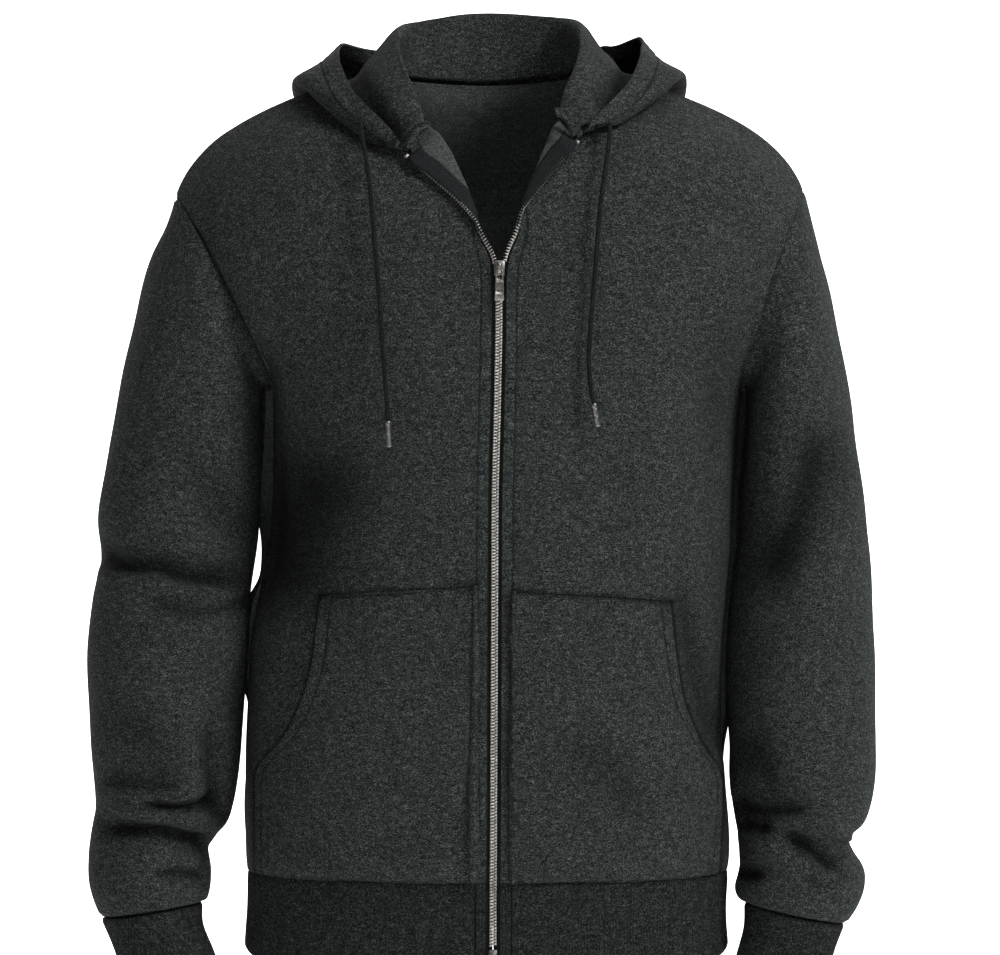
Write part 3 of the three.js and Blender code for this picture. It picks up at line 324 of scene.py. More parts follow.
def fold_line(side, t):
    start = fold_point(side, UNDERARM_Z)
    points = [start, *OPENING[side]["fold"], *NECKLINE[side], SHOULDER[side]["neck"]]
    return row_value(points, np.asarray(t) * (len(points) - 1))


def teeth_line(side, t):
    return row_value(OPENING[side]["teeth"], t)


def coons(bottom, top, outer, inner, s, v):
    """One row of a surface stretched between four edge curves"""
    ends = np.array([0.0, 1.0])
    s = np.asarray(s, float)
    across = bottom(s) * (1 - v) + top(s) * v
    w = s[:, None]
    along = outer(v) * (1 - w) + inner(v) * w
    low, high = bottom(ends), top(ends)
    corners = (low[0] * (1 - w) + low[1] * w) * (1 - v) + (high[0] * (1 - w) + high[1] * w) * v
    return across + along - corners


def bulge(t):
    return 4 * t * (1 - t)


def lower_height(j):
    return HEM_SEAM_Z + (UNDERARM_Z - HEM_SEAM_Z) * (j / LOWER_ROWS) ** ROW_SPREAD


def smooth(grid, rounds):
    now = grid.copy()
    for _ in range(rounds):
        mean = (now[:-2, 1:-1] + now[2:, 1:-1] + now[1:-1, :-2] + now[1:-1, 2:]) / 4
        step = now.copy()
        first = SMOOTHING_START
        step[first:-1, 1:-1] = (mean[first - 1:] + now[first:-1, 1:-1]) / 2
        now = step
    return now


def edge_ends(side, fold, v):
    """The zip's own line beside a front's cloth at row place v, or none above the zip"""
    rows = OPENING[side]["teeth"]
    fold_rows = len(rows) + len(NECKLINE[side]) + 1
    t = v * fold_rows - 1
    if v <= 0 or t < 0:
        low = np.array([fold[0] - side * FOLD_OUT + side * TEETH_OUT, fold[1], fold[2]])
        return low if v <= 0 else low + (np.array(rows[0]) - low) * v * fold_rows
    return None if t > len(rows) - 1 + TINY else teeth_line(side, t)


def edge_strip(before, fold, teeth):
    lead = unit(fold - before)
    reach, end = NECK_EDGE_STUB, fold + lead * NECK_EDGE_STUB
    if teeth is not None:
        back = fold - teeth
        reach = np.linalg.norm(back) - CLOTH_BACK_FROM_TEETH
        end = teeth + unit(back) * CLOTH_BACK_FROM_TEETH
    turn = fold + lead * reach * FOLD_LEAD
    points = []
    for k in range(1, EDGE_COLUMNS + 1):
        t = k / EDGE_COLUMNS
        a, b = fold + (turn - fold) * t, turn + (end - turn) * t
        points.append(a + (b - a) * t)
    return points


def panel_rows(side, facing, columns, top, inner, fullness):
    """A half panel's rows: sections of the torso, then a surface from the underarm's height
    up to the shoulder between its four edges"""
    s = np.linspace(0, 1, columns + 1)
    grid = [torso_half(side, facing, lower_height(j), s) for j in range(LOWER_ROWS)]
    for k in range(UPPER_ROWS + 1):
        v = k / UPPER_ROWS
        row = coons(
            lambda a: torso_half(side, facing, UNDERARM_Z, a), top,
            lambda b: armhole_point(side, facing, 180 * b - 90), inner, s, v)
        row[:, 1] += fullness * bulge(s) * bulge(v)
        grid.append(row)
    return np.array(grid)


def front_grid(side):
    """One front's middle surface, and the zip's line beside each of its rows"""
    rows = panel_rows(
        side, "front", FRONT_COLUMNS, lambda s: shoulder_point(side, s),
        lambda v: fold_line(side, v), -CHEST_FULLNESS)
    grid = smooth(rows, SMOOTHING_ROUNDS)
    places = [0] * LOWER_ROWS + [k / UPPER_ROWS for k in range(UPPER_ROWS + 1)]
    ends = [edge_ends(side, row[-1], v) for row, v in zip(grid, places)]
    strips = [edge_strip(row[-2], row[-1], end) for row, end in zip(grid, ends)]
    return np.concatenate([grid, np.array(strips)], axis=1), ends


def back_half(side):
    neck = np.array(SHOULDER[side]["neck"], float)
    y, z = BACK_LINE[-1]
    middle = np.array([NECK_X, y, z], float)

    def top(s):
        s = np.asarray(s, float)
        on_seam = shoulder_point(side, np.minimum(s / BACK_NECK_SHARE, 1))
        t = np.maximum((s - BACK_NECK_SHARE) / (1 - BACK_NECK_SHARE), 0)
        handle = middle + np.array([side * BACK_NECK_MIDDLE_HANDLE, 0, 0])
        on_neck = bezier(neck, neck + BACK_NECK_SIDE_HANDLE, handle, middle, t)
        return np.where((s <= BACK_NECK_SHARE)[:, None], on_seam, on_neck)

    def line(v):
        bottom = torso_half(side, "back", UNDERARM_Z, np.array([1.0]))[0]
        y, z = row_value(BACK_LINE, v * (len(BACK_LINE) - 1))
        return np.array([bottom[0] + (NECK_X - bottom[0]) * v, y, z])

    return panel_rows(side, "back", BACK_COLUMNS, top, line, BACK_FULLNESS)


def back_grid():
    left, right = back_half(LEFT), back_half(RIGHT)
    return smooth(np.concatenate([left, right[:, ::-1][:, 1:]], axis=1), SMOOTHING_ROUNDS)


def angles_round(count):
    return np.arange(count) / count * 2 * np.pi


def ring_points(ring):
    angle = angles_round(SLEEVE_SIDES)
    middle = np.array([(ring["out_x"] + ring["in_x"]) / 2, ring["y"], (ring["out_z"] + ring["in_z"]) / 2])
    half = np.array([(ring["out_x"] - ring["in_x"]) / 2, 0, (ring["out_z"] - ring["in_z"]) / 2])
    reach = np.where(np.sin(angle) > 0, ring["back"], -ring["front"]) * np.abs(np.sin(angle))
    return middle + np.cos(angle)[:, None] * half + reach[:, None] * np.array([0, 1, 0])


def tube_rings(rows, count):
    last = len(rows["y"]) - 1
    return [
        ring_points({name: row_value(rows[name], t) for name in rows})
        for t in np.linspace(0, last, count)
    ]


def sleeve_grid(side):
    turn = np.arange(SLEEVE_SIDES) / SLEEVE_SIDES * 360
    behind = armhole_point(side, "back", 90 - turn)
    ahead = armhole_point(side, "front", turn - 270)
    start = np.where((turn < 180)[:, None], behind, ahead)
    return np.array([start, *tube_rings(SLEEVE[side], SLEEVE_RINGS)])


def waistband_grid():
    s = np.linspace(0, 1, WAISTBAND_COLUMNS + 1)
    grid = []
    for z in np.linspace(WAISTBAND_BOTTOM_Z, HEM_SEAM_Z, 3):
        quarters = {
            (side, facing): torso_half(side, facing, z, s)
            for side in (RIGHT, LEFT) for facing in ("front", "back")
        }
        for side in (RIGHT, LEFT):
            row = quarters[side, "front"]
            edge = row[-1] - [side * (FOLD_OUT - TEETH_OUT - CLOTH_BACK_FROM_TEETH), 0, 0]
            quarters[side, "front"] = np.vstack([row, edge])
        grid.append(np.vstack([
            quarters[LEFT, "front"][::-1], quarters[LEFT, "back"][1:],
            quarters[RIGHT, "back"][::-1][1:], quarters[RIGHT, "front"][1:],
        ]))
    return np.array(grid)


def hood_grid():
    half = len(HOOD) - 1
    stations = [(i, RIGHT) for i in range(half + 1)] + [(i, LEFT) for i in range(half - 1, -1, -1)]
    sections = []
    for i, side in stations:
        out, y, z = np.array(HOOD[i], float).T
        fade = 1 - i / half if side == LEFT else 0
        more = [x * fade for x in HOOD_LEFT_FRONT]
        sections.append(np.stack([NECK_X + side * (out + more[0]), y + more[1], z + more[2]], axis=1))
    round_it = np.linspace(0, len(sections) - 1, HOOD_STEPS_ROUND * 2 + 1)
    points = row_value(np.array(sections), round_it)
    across = np.linspace(0, points.shape[1] - 1, HOOD_STEPS_ACROSS + 1)
    return row_value(points.transpose(1, 0, 2), across)


def front_share(side, x, z):
    """How far along a front's section, from its side seam, a given place across lies"""
    low, high = 0, 1
    for _ in range(HALVINGS):
        middle = (low + high) / 2
        if (torso_half(side, "front", z, np.array([middle]))[0, 0] - x) * side > 0:
            low = middle
        else:
            high = middle
    return (low + high) / 2


def pocket_grid(side):
    rows = POCKET[side]
    top_z, j, heights = rows["z"][-1], 0, []
    while lower_height(j) < top_z - POCKET_EASE:
        heights.append(max(lower_height(j), rows["z"][0]))
        j += POCKET_ROW_STEP
    heights.append(top_z)
    shares = np.linspace(0, 1, POCKET_COLUMNS + 1)
    grid = []
    for j, z in enumerate(heights):
        start = front_share(side, row_value(rows["edge"], row_place(rows["z"], z)), z)
        rise = POCKET_TOP_RISE if j == len(heights) - 1 else 0
        grid.append([
            torso_half(side, "front", z + rise * share, np.array([start + (1 - start) * share]))[0]
            for share in shares
        ])
    return np.array(grid)


# The tape starts this far in on the cloth, and its way out is read over these columns
TAPE_EDGE_IN = 0.02
LEAD_COLUMNS = 6


def tape_grid(side, cloth, ends):
    """The zip tape on the inside of a front's edge, running on down inside the waistband"""
    rows = []
    for share in WAIST_TAPE_SHARES:
        z = WAISTBAND_BOTTOM_Z + (HEM_SEAM_Z - WAISTBAND_BOTTOM_Z) * share
        fold = fold_point(side, z)
        zip_x = fold[0] - side * FOLD_OUT
        y = fold[1] + RIB / 2 + TAPE_EASE + TAPE / 2
        outs = [TEETH_OUT + CLOTH_BACK_FROM_TEETH + back for back in TAPE_BACKS]
        outs += [TEETH_OUT + TAPE_BACK_FROM_TEETH, TAPE_END_GAP]
        rows.append([(zip_x + side * out, y, z) for out in outs])
    open_rows = cloth.rows <= max(j for j, teeth in enumerate(ends) if teeth is not None)
    columns = []
    for back in TAPE_BACKS:
        points, ways = line_on(cloth, cloth.from_last, max(back, TAPE_EDGE_IN), 1, inside=True)
        columns.append((points + ways * (TAPE_EASE + TAPE / 2))[open_rows])
    lead = unit(cloth.points[:, -1] - cloth.points[:, -LEAD_COLUMNS])[open_rows]
    columns.append(columns[-1] + lead * (CLOTH_BACK_FROM_TEETH - TAPE_BACK_FROM_TEETH))
    columns.append(columns[-1] + lead * TAPE_BACK_FROM_TEETH)
    return np.concatenate([rows, np.stack(columns, axis=1)])


CLOSED_ZIP_ROWS = 30


def zip_line():
    """The middle of the closed zip, from the hem up to the slider"""
    heights = list(np.linspace(WAISTBAND_BOTTOM_Z, UNDERARM_Z, CLOSED_ZIP_ROWS))
    points = []
    for z in heights:
        fold = fold_point(LEFT, z)
        points.append((fold[0] - FOLD_OUT, fold[1] - CHAIN_FORWARD, z))
    for i in range(CLOSED_OPENING_ROWS):
        middle = (np.array(OPENING[RIGHT]["teeth"][i]) + OPENING[LEFT]["teeth"][i]) / 2
        points.append((middle[0], middle[1] - CHAIN_FORWARD, middle[2]))
    return np.array(points)


# Meshes from grids


def normals(grid, closed, flip):
    """Unit normals of a grid of points, by central differences"""
    if closed:
        across = np.roll(grid, -1, axis=1) - np.roll(grid, 1, axis=1)
    else:
        wide = np.concatenate([grid[:, :1], grid, grid[:, -1:]], axis=1)
        across = wide[:, 2:] - wide[:, :-2]
    tall = np.concatenate([grid[:1], grid, grid[-1:]], axis=0)
    along = tall[2:] - tall[:-2]
    way = unit(np.cross(across, along))
    return -way if flip else way


def spread(*stretches):
    """Places along a grid from stretches of (first, last, steps)"""
    places = [np.linspace(first, last, steps, endpoint=False) for first, last, steps in stretches]
    return np.concatenate([*places, [stretches[-1][1]]])


def refined(grid, rows, columns, closed=False):
    """A grid's surface at finer places, counted in its own rows and columns"""
    if closed:
        pad = 2
        wide = np.concatenate([grid[:, -pad:], grid, grid[:, :pad + 1]], axis=1)
        across = row_value(wide.transpose(1, 0, 2), columns[:-1] + pad)
    else:
        across = row_value(grid.transpose(1, 0, 2), columns)
    return row_value(across.transpose(1, 0, 2), rows)


def distances(points, axis):
    """Distances along a grid's lines from its first and to its last point"""
    steps = np.linalg.norm(np.diff(points, axis=axis), axis=2)
    zero = np.zeros_like(np.take(steps, [0], axis=axis))
    run = np.concatenate([zero, np.cumsum(steps, axis=axis)], axis=axis)
    return run, np.take(run, [-1], axis=axis) - run


def run_along(path):
    """How far along a path each of its points lies"""
    return np.concatenate([[0], np.cumsum(np.linalg.norm(np.diff(path, axis=0), axis=1))])


def value_at(at, run, values):
    """The value of three columns at a distance along a path"""
    return np.array([np.interp(at, run, values[:, k]) for k in range(3)])


def dip(distance, width):
    """1 on an edge or line, falling smoothly to 0 at a width from it"""
    t = np.clip(np.abs(distance) / width, 0, 1)
    return (1 - t * t) ** 2


# Unevenness: how many waves, the range of their lengths, and what their sum is divided by
WAVE_COUNT = 7
WAVE_LENGTHS = (0.6, 1.7)
WAVE_SHARE = 3


def waves(points, size, seed):
    """A soft seeded unevenness between about -1 and 1"""
    rng = np.random.default_rng(seed)
    total = np.zeros(points.shape[:-1])
    for _ in range(WAVE_COUNT):
        way = unit(rng.normal(size=3))
        length = size * rng.uniform(*WAVE_LENGTHS)
        total += np.sin(points @ way * 2 * np.pi / length + rng.uniform(0, 2 * np.pi))
    return total / WAVE_SHARE


def picture(points):
    """Where points lie in the photograph's frame, in its pixels"""
    away = (points[..., 1] + CAMERA_DISTANCE / MM) * (VIEW_WIDTH / CAMERA_DISTANCE)
    x = PICTURE_MIDDLE[0] + (points[..., 0] - CAMERA_X / MM) / away * PICTURE_WIDTH
    y = PICTURE_MIDDLE[1] - (points[..., 2] - CAMERA_Z / MM) / away * PICTURE_WIDTH
    return np.stack([x, y], axis=-1)


def line_distance(at, line):
    """Signed distance of picture points from a line of them, and the share along it"""
    best = np.full(at.shape[:-1], np.inf)
    signed, share = np.zeros_like(best), np.zeros_like(best)
    line = np.asarray(line, float)
    lengths = np.linalg.norm(np.diff(line, axis=0), axis=1)
    total = lengths.sum()
    run = 0
    for a, b, length in zip(line[:-1], line[1:], lengths):
        way = (b - a) / length
        t = np.clip((at - a) @ way, 0, length)
        off = at - a - t[..., None] * way
        far = np.linalg.norm(off, axis=-1)
        nearer = far < best
        turn = way[0] * off[..., 1] - way[1] * off[..., 0]
        best = np.where(nearer, far, best)
        signed = np.where(nearer, np.where(turn < 0, -far, far), signed)
        share = np.where(nearer, (run + t) / total, share)
        run += length
    return signed, share


# A crease shows where the cloth turns to its side: how sharply, and from where on
FACING_GAIN = 2.2
FACING_START = 0.35
LINE_STEPS = 6


def creased(points, ways, creases):
    """Moves of a surface by soft troughs and ridges, in groups by the way the
    cloth faces, -1 for the front. Each has its line in the picture, the widths on its two
    sides in pixels, its depth in mm (minus for a ridge), and the shares of its ends over
    which it fades"""
    at = picture(points)
    move = np.zeros(points.shape[:-1])
    for facing, group in creases.items():
        turned = np.clip(ways[..., 1] * facing * FACING_GAIN + FACING_START, 0, 1)
        for line, widths, depth, fades in group:
            signed, share = line_distance(at, smooth_line(line))
            width = np.where(signed < 0, widths[0], widths[1])
            t = np.abs(signed) / width
            start = np.clip(share / max(fades[0], SMALL), 0, 1)
            end = np.clip((1 - share) / max(fades[1], SMALL), 0, 1)
            taper = start * start * (3 - 2 * start) * end * end * (3 - 2 * end)
            move -= depth * np.exp(-t * t) * taper * turned
    return move


def smooth_line(line):
    places = np.linspace(0, len(line) - 1, (len(line) - 1) * LINE_STEPS + 1)
    return row_value(np.array(line, float), places)


def mesh_object(name, points, faces, material):
    mesh = bpy.data.meshes.new(name)
    points = (np.asarray(points) * MM).tolist()
    mesh.from_pydata(points, [], [tuple(map(int, face)) for face in faces])
    mesh.materials.append(material)
    mesh.polygons.foreach_set("use_smooth", [True] * len(mesh.polygons))
    mesh.update()
    thing = bpy.data.objects.new(name, mesh)
    bpy.context.scene.collection.objects.link(thing)
    return thing


def wall_faces(rows, columns, closed, flip):
    """Faces of a closed wall between an outer and an inner grid, joined at their edges"""
    size = rows * columns
    index = np.arange(2 * size).reshape(2, rows, columns)
    if closed:
        index = np.concatenate([index, index[:, :, :1]], axis=2)
    outer, inner = index

    def quads(grid, turn):
        a, b, c, d = grid[:-1, :-1], grid[:-1, 1:], grid[1:, 1:], grid[1:, :-1]
        order = (a, d, c, b) if turn else (a, b, c, d)
        return np.stack([q.ravel() for q in order], axis=1)

    sides = [quads(outer, flip), quads(inner, not flip)]
    for edge, back, turn in ((outer[0], inner[0], not flip), (outer[-1], inner[-1], flip)):
        sides.append(quads(np.stack([edge, back]), turn))
    if not closed:
        for edge, back, turn in ((outer[:, 0], inner[:, 0], flip), (outer[:, -1], inner[:, -1], not flip)):
            sides.append(quads(np.stack([edge, back]), turn))
    return np.concatenate(sides)


# How cloth takes unevenness, creases, sewn edges and stitched lines. Lengths are in
# millimetres, and painted_shade is the share of painted shade that darkens the cloth's colour in a fold or a
# seam
WAVE_SIZE = 85
CREASE_SHADE = 0.064
CREASE_SHADE_DEPTH = 12
EDGE_SHADE = 0.55
EDGE_USUAL_DEPTH = 1.6
EDGE_LINE_WIDTH = 1.7
GROOVE_SHADE = 0.9
GROOVE_SHADE_MOST = 0.75
GROOVE_LINE_WIDTH = 1.1
PUCKER_SIZE = 11
PUCKER_WIDTH = 9
INNER_SINK = 0.4
INNER_SHADE = 0.3
SHADE_MOST = 0.85


class Cloth:
    """A fine wall of cloth on a piece's middle surface. relief moves its outside out, sink
    moves it in, and an alike wall has the same relief on its inside"""

    def __init__(self, name, grid, rows, columns, thickness, closed=False, flip=False,
                 creases=None, waviness=0.5):
        self.name, self.closed, self.flip, self.thickness = name, closed, flip, thickness
        self.rows = rows
        points = refined(grid, rows, columns, closed)
        ways = normals(points, closed, flip)
        move = creased(points, ways, creases or {}) + waviness * waves(points, WAVE_SIZE, len(name))
        self.points = points + ways * move[..., None]
        self.ways = normals(self.points, closed, flip)
        self.from_first, self.from_last = distances(self.points, 1)
        self.from_low, self.from_high = distances(self.points, 0)
        self.relief = np.zeros(points.shape[:-1])
        self.sink = np.zeros(points.shape[:-1])
        # Painted shade: the cloth's colour is darkened in the troughs of creases, more where they are deeper
        self.painted_shade = CREASE_SHADE * np.clip(-move, 0, CREASE_SHADE_DEPTH)
        self.alike = False

    def edge(self, distance, width, depth):
        """Rolls the cloth in where it is sewn to its neighbour, and darkens the seam line with painted shade
        """
        self.sink += depth * dip(distance, width)
        # Painted shade along the seam line
        self.painted_shade += EDGE_SHADE * depth / EDGE_USUAL_DEPTH * dip(distance, EDGE_LINE_WIDTH)

    def groove(self, distance, width, depth, pucker, seed):
        """Presses a line of stitching in, with small puckers beside it, and darkens the line with painted
        shade
        """
        self.relief -= depth * dip(distance, width)
        # Painted shade along the stitched line
        self.painted_shade += min(GROOVE_SHADE_MOST, GROOVE_SHADE * depth) * dip(distance, GROOVE_LINE_WIDTH)
        self.relief += pucker * waves(self.points, PUCKER_SIZE, seed) * dip(distance, PUCKER_WIDTH)

    def outer(self):
        lift = self.thickness / 2 + self.relief - self.sink
        return self.points + self.ways * lift[..., None]

    def inner(self):
        lift = self.thickness / 2 + INNER_SINK * self.sink
        if self.alike:
            lift = self.thickness / 2 + self.relief - self.sink
        return self.points - self.ways * lift[..., None]

    def make(self, material):
        outer, inner = self.outer(), self.inner()
        rows, columns = outer.shape[:2]
        points = np.concatenate([outer.reshape(-1, 3), inner.reshape(-1, 3)])
        faces = wall_faces(rows, columns, self.closed, self.flip)
        thing = mesh_object(self.name, points, faces, material)
        # Painted shade on the points, for the material to darken the colour by; weaker on the inside unless
        # the wall is alike
        painted_shade = np.clip(self.painted_shade, 0, SHADE_MOST).ravel()
        inner_painted_shade = painted_shade * (1 if self.alike else INNER_SHADE)
        values = thing.data.attributes.new("painted_shade", "FLOAT", "POINT")
        values.data.foreach_set("value", np.concatenate([painted_shade, inner_painted_shade]).astype(np.float32))
        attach(thing, "garment")
        return thing


# Materials


def new_material(name):
    material = bpy.data.materials.new(name)
    material.use_nodes = True
    return material, material.node_tree, material.node_tree.nodes["Principled BSDF"]


def feed(tree, node, inputs):
    """Gives a node's inputs, by name or number, a value or another node's output"""
    for name, value in inputs.items():
        socket = node.inputs[name]
        if isinstance(value, bpy.types.NodeSocket):
            tree.links.new(value, socket)
        else:
            socket.default_value = value


def add(tree, kind, inputs, **settings):
    """A node with its inputs and its settings"""
    node = tree.nodes.new(kind)
    for name, value in settings.items():
        setattr(node, name, value)
    feed(tree, node, inputs)
    return node


def own_place(tree):
    return add(tree, "ShaderNodeTexCoord", {}).outputs["Object"]


def noise(tree, vector, scale, detail=2.0, roughness=0.5):
    inputs = {"Vector": vector, "Scale": scale, "Detail": detail, "Roughness": roughness}
    return add(tree, "ShaderNodeTexNoise", inputs).outputs["Fac"]


def ramp(tree, value, stops):
    node = add(tree, "ShaderNodeValToRGB", {"Fac": value})
    elements = node.color_ramp.elements
    while len(elements) < len(stops):
        elements.new(0.5)
    for element, (place, colour) in zip(elements, stops):
        element.position = place
        element.color = (*colour, 1)
    return node.outputs["Color"]


def bumped(tree, height, strength, distance):
    inputs = {"Height": height, "Strength": strength, "Distance": distance}
    return add(tree, "ShaderNodeBump", inputs).outputs["Normal"]


# Flecks: stretch of the yarn in X, Y and Z, broad flecks as a share of the fine ones and
# their weight, and the heights at which the dark, middle and light fibres show
FLECK_STRETCH = (0.62, 0.62, 1.45)
BROAD_SHARE = 0.22
BROAD_WEIGHT = 0.16
FLECK_STOPS = (0.37, 0.485, 0.525, 0.65)
NAP_SHARE = 1.7
NAP_HEIGHT = 0.0006
CLOTH_ROUGHNESS = 0.93
CLOTH_SPECULAR = 0.06
PATCH_SCALE = 900
PATCH_STOPS = (0.35, 0.65)
SCRATCH_SCALE = 2600
SCRATCH_STRENGTH = 0.15
SCRATCH_HEIGHT = 0.0001


def cloth_material(name, dark, middle, light, fleck, fuzz):
    """Heathered knit: flecks of lighter and darker fibre, drawn out along the rows, darkened by the painted
    shade that each point carries
    """
    material, tree, shader = new_material(name)
    stretch = {"Vector": own_place(tree), "Scale": FLECK_STRETCH}
    drawn = add(tree, "ShaderNodeMapping", stretch).outputs["Vector"]
    fine = noise(tree, drawn, fleck, detail=4.0, roughness=0.72)
    broad = noise(tree, drawn, fleck * BROAD_SHARE)
    weights = {0: broad, 1: BROAD_WEIGHT, 2: -BROAD_WEIGHT / 2}
    mixed = add(tree, "ShaderNodeMath", weights, operation="MULTIPLY_ADD").outputs[0]
    total = add(tree, "ShaderNodeMath", {0: fine, 1: mixed}, operation="ADD").outputs[0]
    colour = ramp(tree, total, list(zip(FLECK_STOPS, (dark, middle, middle, light))))
    # Painted shade: the colour is darkened by the share that each point carries
    painted_shade = add(tree, "ShaderNodeAttribute", {}, attribute_name="painted_shade").outputs["Fac"]
    shade = add(tree, "ShaderNodeMath", {0: 1.0, 1: painted_shade}, operation="SUBTRACT").outputs[0]
    shaded = add(tree, "ShaderNodeVectorMath", {"Vector": colour, "Scale": shade}, operation="SCALE")
    nap = noise(tree, drawn, fleck * NAP_SHARE, roughness=0.6)
    feed(tree, shader, {
        "Base Color": shaded.outputs["Vector"], "Roughness": CLOTH_ROUGHNESS,
        "Specular IOR Level": CLOTH_SPECULAR, "Normal": bumped(tree, nap, fuzz, NAP_HEIGHT),
    })
    return material


def metal_material(name, dark, light, roughness):
    """Antique silver, duller and darker in patches"""
    material, tree, shader = new_material(name)
    place = own_place(tree)
    patches = noise(tree, place, PATCH_SCALE, detail=3.0, roughness=0.6)
    scratches = noise(tree, place, SCRATCH_SCALE)
    feed(tree, shader, {
        "Base Color": ramp(tree, patches, list(zip(PATCH_STOPS, (dark, light)))), "Metallic": 1,
        "Roughness": roughness, "Normal": bumped(tree, scratches, SCRATCH_STRENGTH, SCRATCH_HEIGHT),
    })
    return material


# Each cloth has the colours of its dark, middle and light fibres, the number of flecks in a
# metre and its fuzz, and each metal its dark and light colour and its roughness
FLEECE_LOOK = cloth_material(
    "charcoal_heather_fleece", (0.0005, 0.0008, 0.0007), (0.0115, 0.0135, 0.0123),
    (0.100, 0.112, 0.105), 1250, 0.9)
INSIDE_LOOK = cloth_material(
    "fleece_inside", (0.010, 0.012, 0.0115), (0.030, 0.034, 0.033), (0.075, 0.084, 0.081), 950, 0.6)
RIB_LOOK = cloth_material(
    "charcoal_rib", (0.0005, 0.0008, 0.0007), (0.0065, 0.0078, 0.0072), (0.050, 0.057, 0.053), 1050, 0.5)
TAPE_LOOK = cloth_material(
    "zip_tape", (0.004, 0.005, 0.005), (0.008, 0.0095, 0.0095), (0.018, 0.021, 0.021), 1400, 0.4)
CORD_LOOK = cloth_material(
    "braided_cord", (0.001, 0.0015, 0.0015), (0.005, 0.006, 0.0058), (0.022, 0.026, 0.025), 1300, 0.4)
THREAD_LOOK = cloth_material(
    "sewing_thread", (0.003, 0.004, 0.004), (0.009, 0.011, 0.0105), (0.022, 0.026, 0.025), 2200, 0.3)
METAL_LOOK = metal_material("antique_silver", (0.12, 0.118, 0.108), (0.37, 0.36, 0.335), 0.4)
TIP_LOOK = metal_material("tip_metal", (0.10, 0.10, 0.095), (0.26, 0.255, 0.245), 0.32)
SLIDER_LOOK = metal_material("slider_metal", (0.10, 0.098, 0.09), (0.26, 0.25, 0.23), 0.36)
TAB_FIELD_LOOK = metal_material("tab_field", (0.05, 0.049, 0.046), (0.12, 0.117, 0.11), 0.5)


# Camera, light and stage

camera_data = bpy.data.cameras.new("camera")
camera_data.sensor_width = SENSOR
camera_data.lens = SENSOR * CAMERA_DISTANCE / VIEW_WIDTH
camera = bpy.data.objects.new("camera", camera_data)
camera.location = (CAMERA_X, -CAMERA_DISTANCE, CAMERA_Z)
camera.rotation_euler = (math.pi / 2, 0, 0)
bpy.context.scene.collection.objects.link(camera)
bpy.context.scene.camera = camera
bpy.context.scene.view_settings.view_transform = "Standard"


# Lights, each turned to the garment's middle: place, size and power
MIDDLE = (0, 0, -0.33)
LIGHTS = {
    "key": ((2.2, -1.9, 1.7), (1.0, 1.0), 134),
    "fill": ((-0.4, -3.4, 0.2), (1.4, 1.4), 12),
    "top": ((0.6, -1.1, 2.2), (1.0, 0.8), 30),
}
WORLD_LIGHT = 0.1


def area_light(name, place, size, power):
    data = bpy.data.lights.new(name, "AREA")
    data.shape = "RECTANGLE"
    data.size, data.size_y = size
    data.energy = power
    light = bpy.data.objects.new(name, data)
    bpy.context.scene.collection.objects.link(light)
    light.location = place
    way = np.array(MIDDLE, float) - place
    flat = math.hypot(way[0], way[1])
    light.rotation_euler = (math.pi / 2 + math.atan2(way[2], flat), 0, math.atan2(-way[0], way[1]))


for name, light in LIGHTS.items():
    area_light(name, *light)
world = bpy.data.worlds.new("world")
bpy.context.scene.world = world
world.use_nodes = True
world.node_tree.nodes["Background"].inputs["Color"].default_value = (1, 1, 1, 1)
world.node_tree.nodes["Background"].inputs["Strength"].default_value = WORLD_LIGHT

FLOOR_Z = -1.45
BACKDROP_Y = 1.9
STAGE_HALF = 6.0
SWEEP = 0.9
SWEEP_STEPS = 12
PAPER_GRAIN = 3.0
PAPER_STOPS = [(0.3, (0.93, 0.93, 0.93)), (0.7, (0.96, 0.96, 0.96))]
PAPER_GLOW = 0.9


def stage():
    """A pale floor that sweeps up into the backdrop, and can be seen through from behind"""
    material, tree, shader = new_material("pale_paper")
    grain = noise(tree, own_place(tree), PAPER_GRAIN)
    feed(tree, shader, {
        "Base Color": ramp(tree, grain, PAPER_STOPS), "Roughness": 1,
        "Emission Color": (1, 1, 1, 1), "Emission Strength": PAPER_GLOW,
    })
    behind = add(tree, "ShaderNodeNewGeometry", {}).outputs["Backfacing"]
    clear = add(tree, "ShaderNodeBsdfTransparent", {}).outputs[0]
    seen = add(tree, "ShaderNodeMixShader", {0: behind, 1: shader.outputs[0], 2: clear}).outputs[0]
    output = next(node for node in tree.nodes if node.type == "OUTPUT_MATERIAL")
    feed(tree, output, {"Surface": seen})
    profile = [(-STAGE_HALF, FLOOR_Z), (BACKDROP_Y - SWEEP, FLOOR_Z)]
    for angle in np.linspace(0, math.pi / 2, SWEEP_STEPS)[1:]:
        y = BACKDROP_Y - SWEEP + SWEEP * math.sin(angle)
        profile.append((y, FLOOR_Z + SWEEP * (1 - math.cos(angle))))
    profile.append((BACKDROP_Y, STAGE_HALF))
    points = [(x, y, z) for y, z in profile for x in (-STAGE_HALF, STAGE_HALF)]
    faces = [(2 * i, 2 * i + 1, 2 * i + 3, 2 * i + 2) for i in range(len(profile) - 1)]
    floor = mesh_object("floor", np.array(points) / MM, faces, material)


stage()


# Cords


TUBE_SIDE = (0.0, 1.0, 0.3)


def tube(path, radius, sides, shape):
    """Points and faces of a tube along a path. shape(run, angle) scales its radius"""
    path = np.asarray(path, float)
    ways = unit(np.gradient(path, axis=0))
    side = unit(np.cross(ways[0], TUBE_SIDE))
    angle = angles_round(sides)
    points = []
    for p, way, along in zip(path, ways, run_along(path)):
        side = unit(side - way * (side @ way))
        up = np.cross(way, side)
        size = radius * shape(along, angle)
        points.append(p + (np.cos(angle) * size)[:, None] * side + (np.sin(angle) * size)[:, None] * up)
    return np.concatenate(points), tube_faces(len(points), sides)


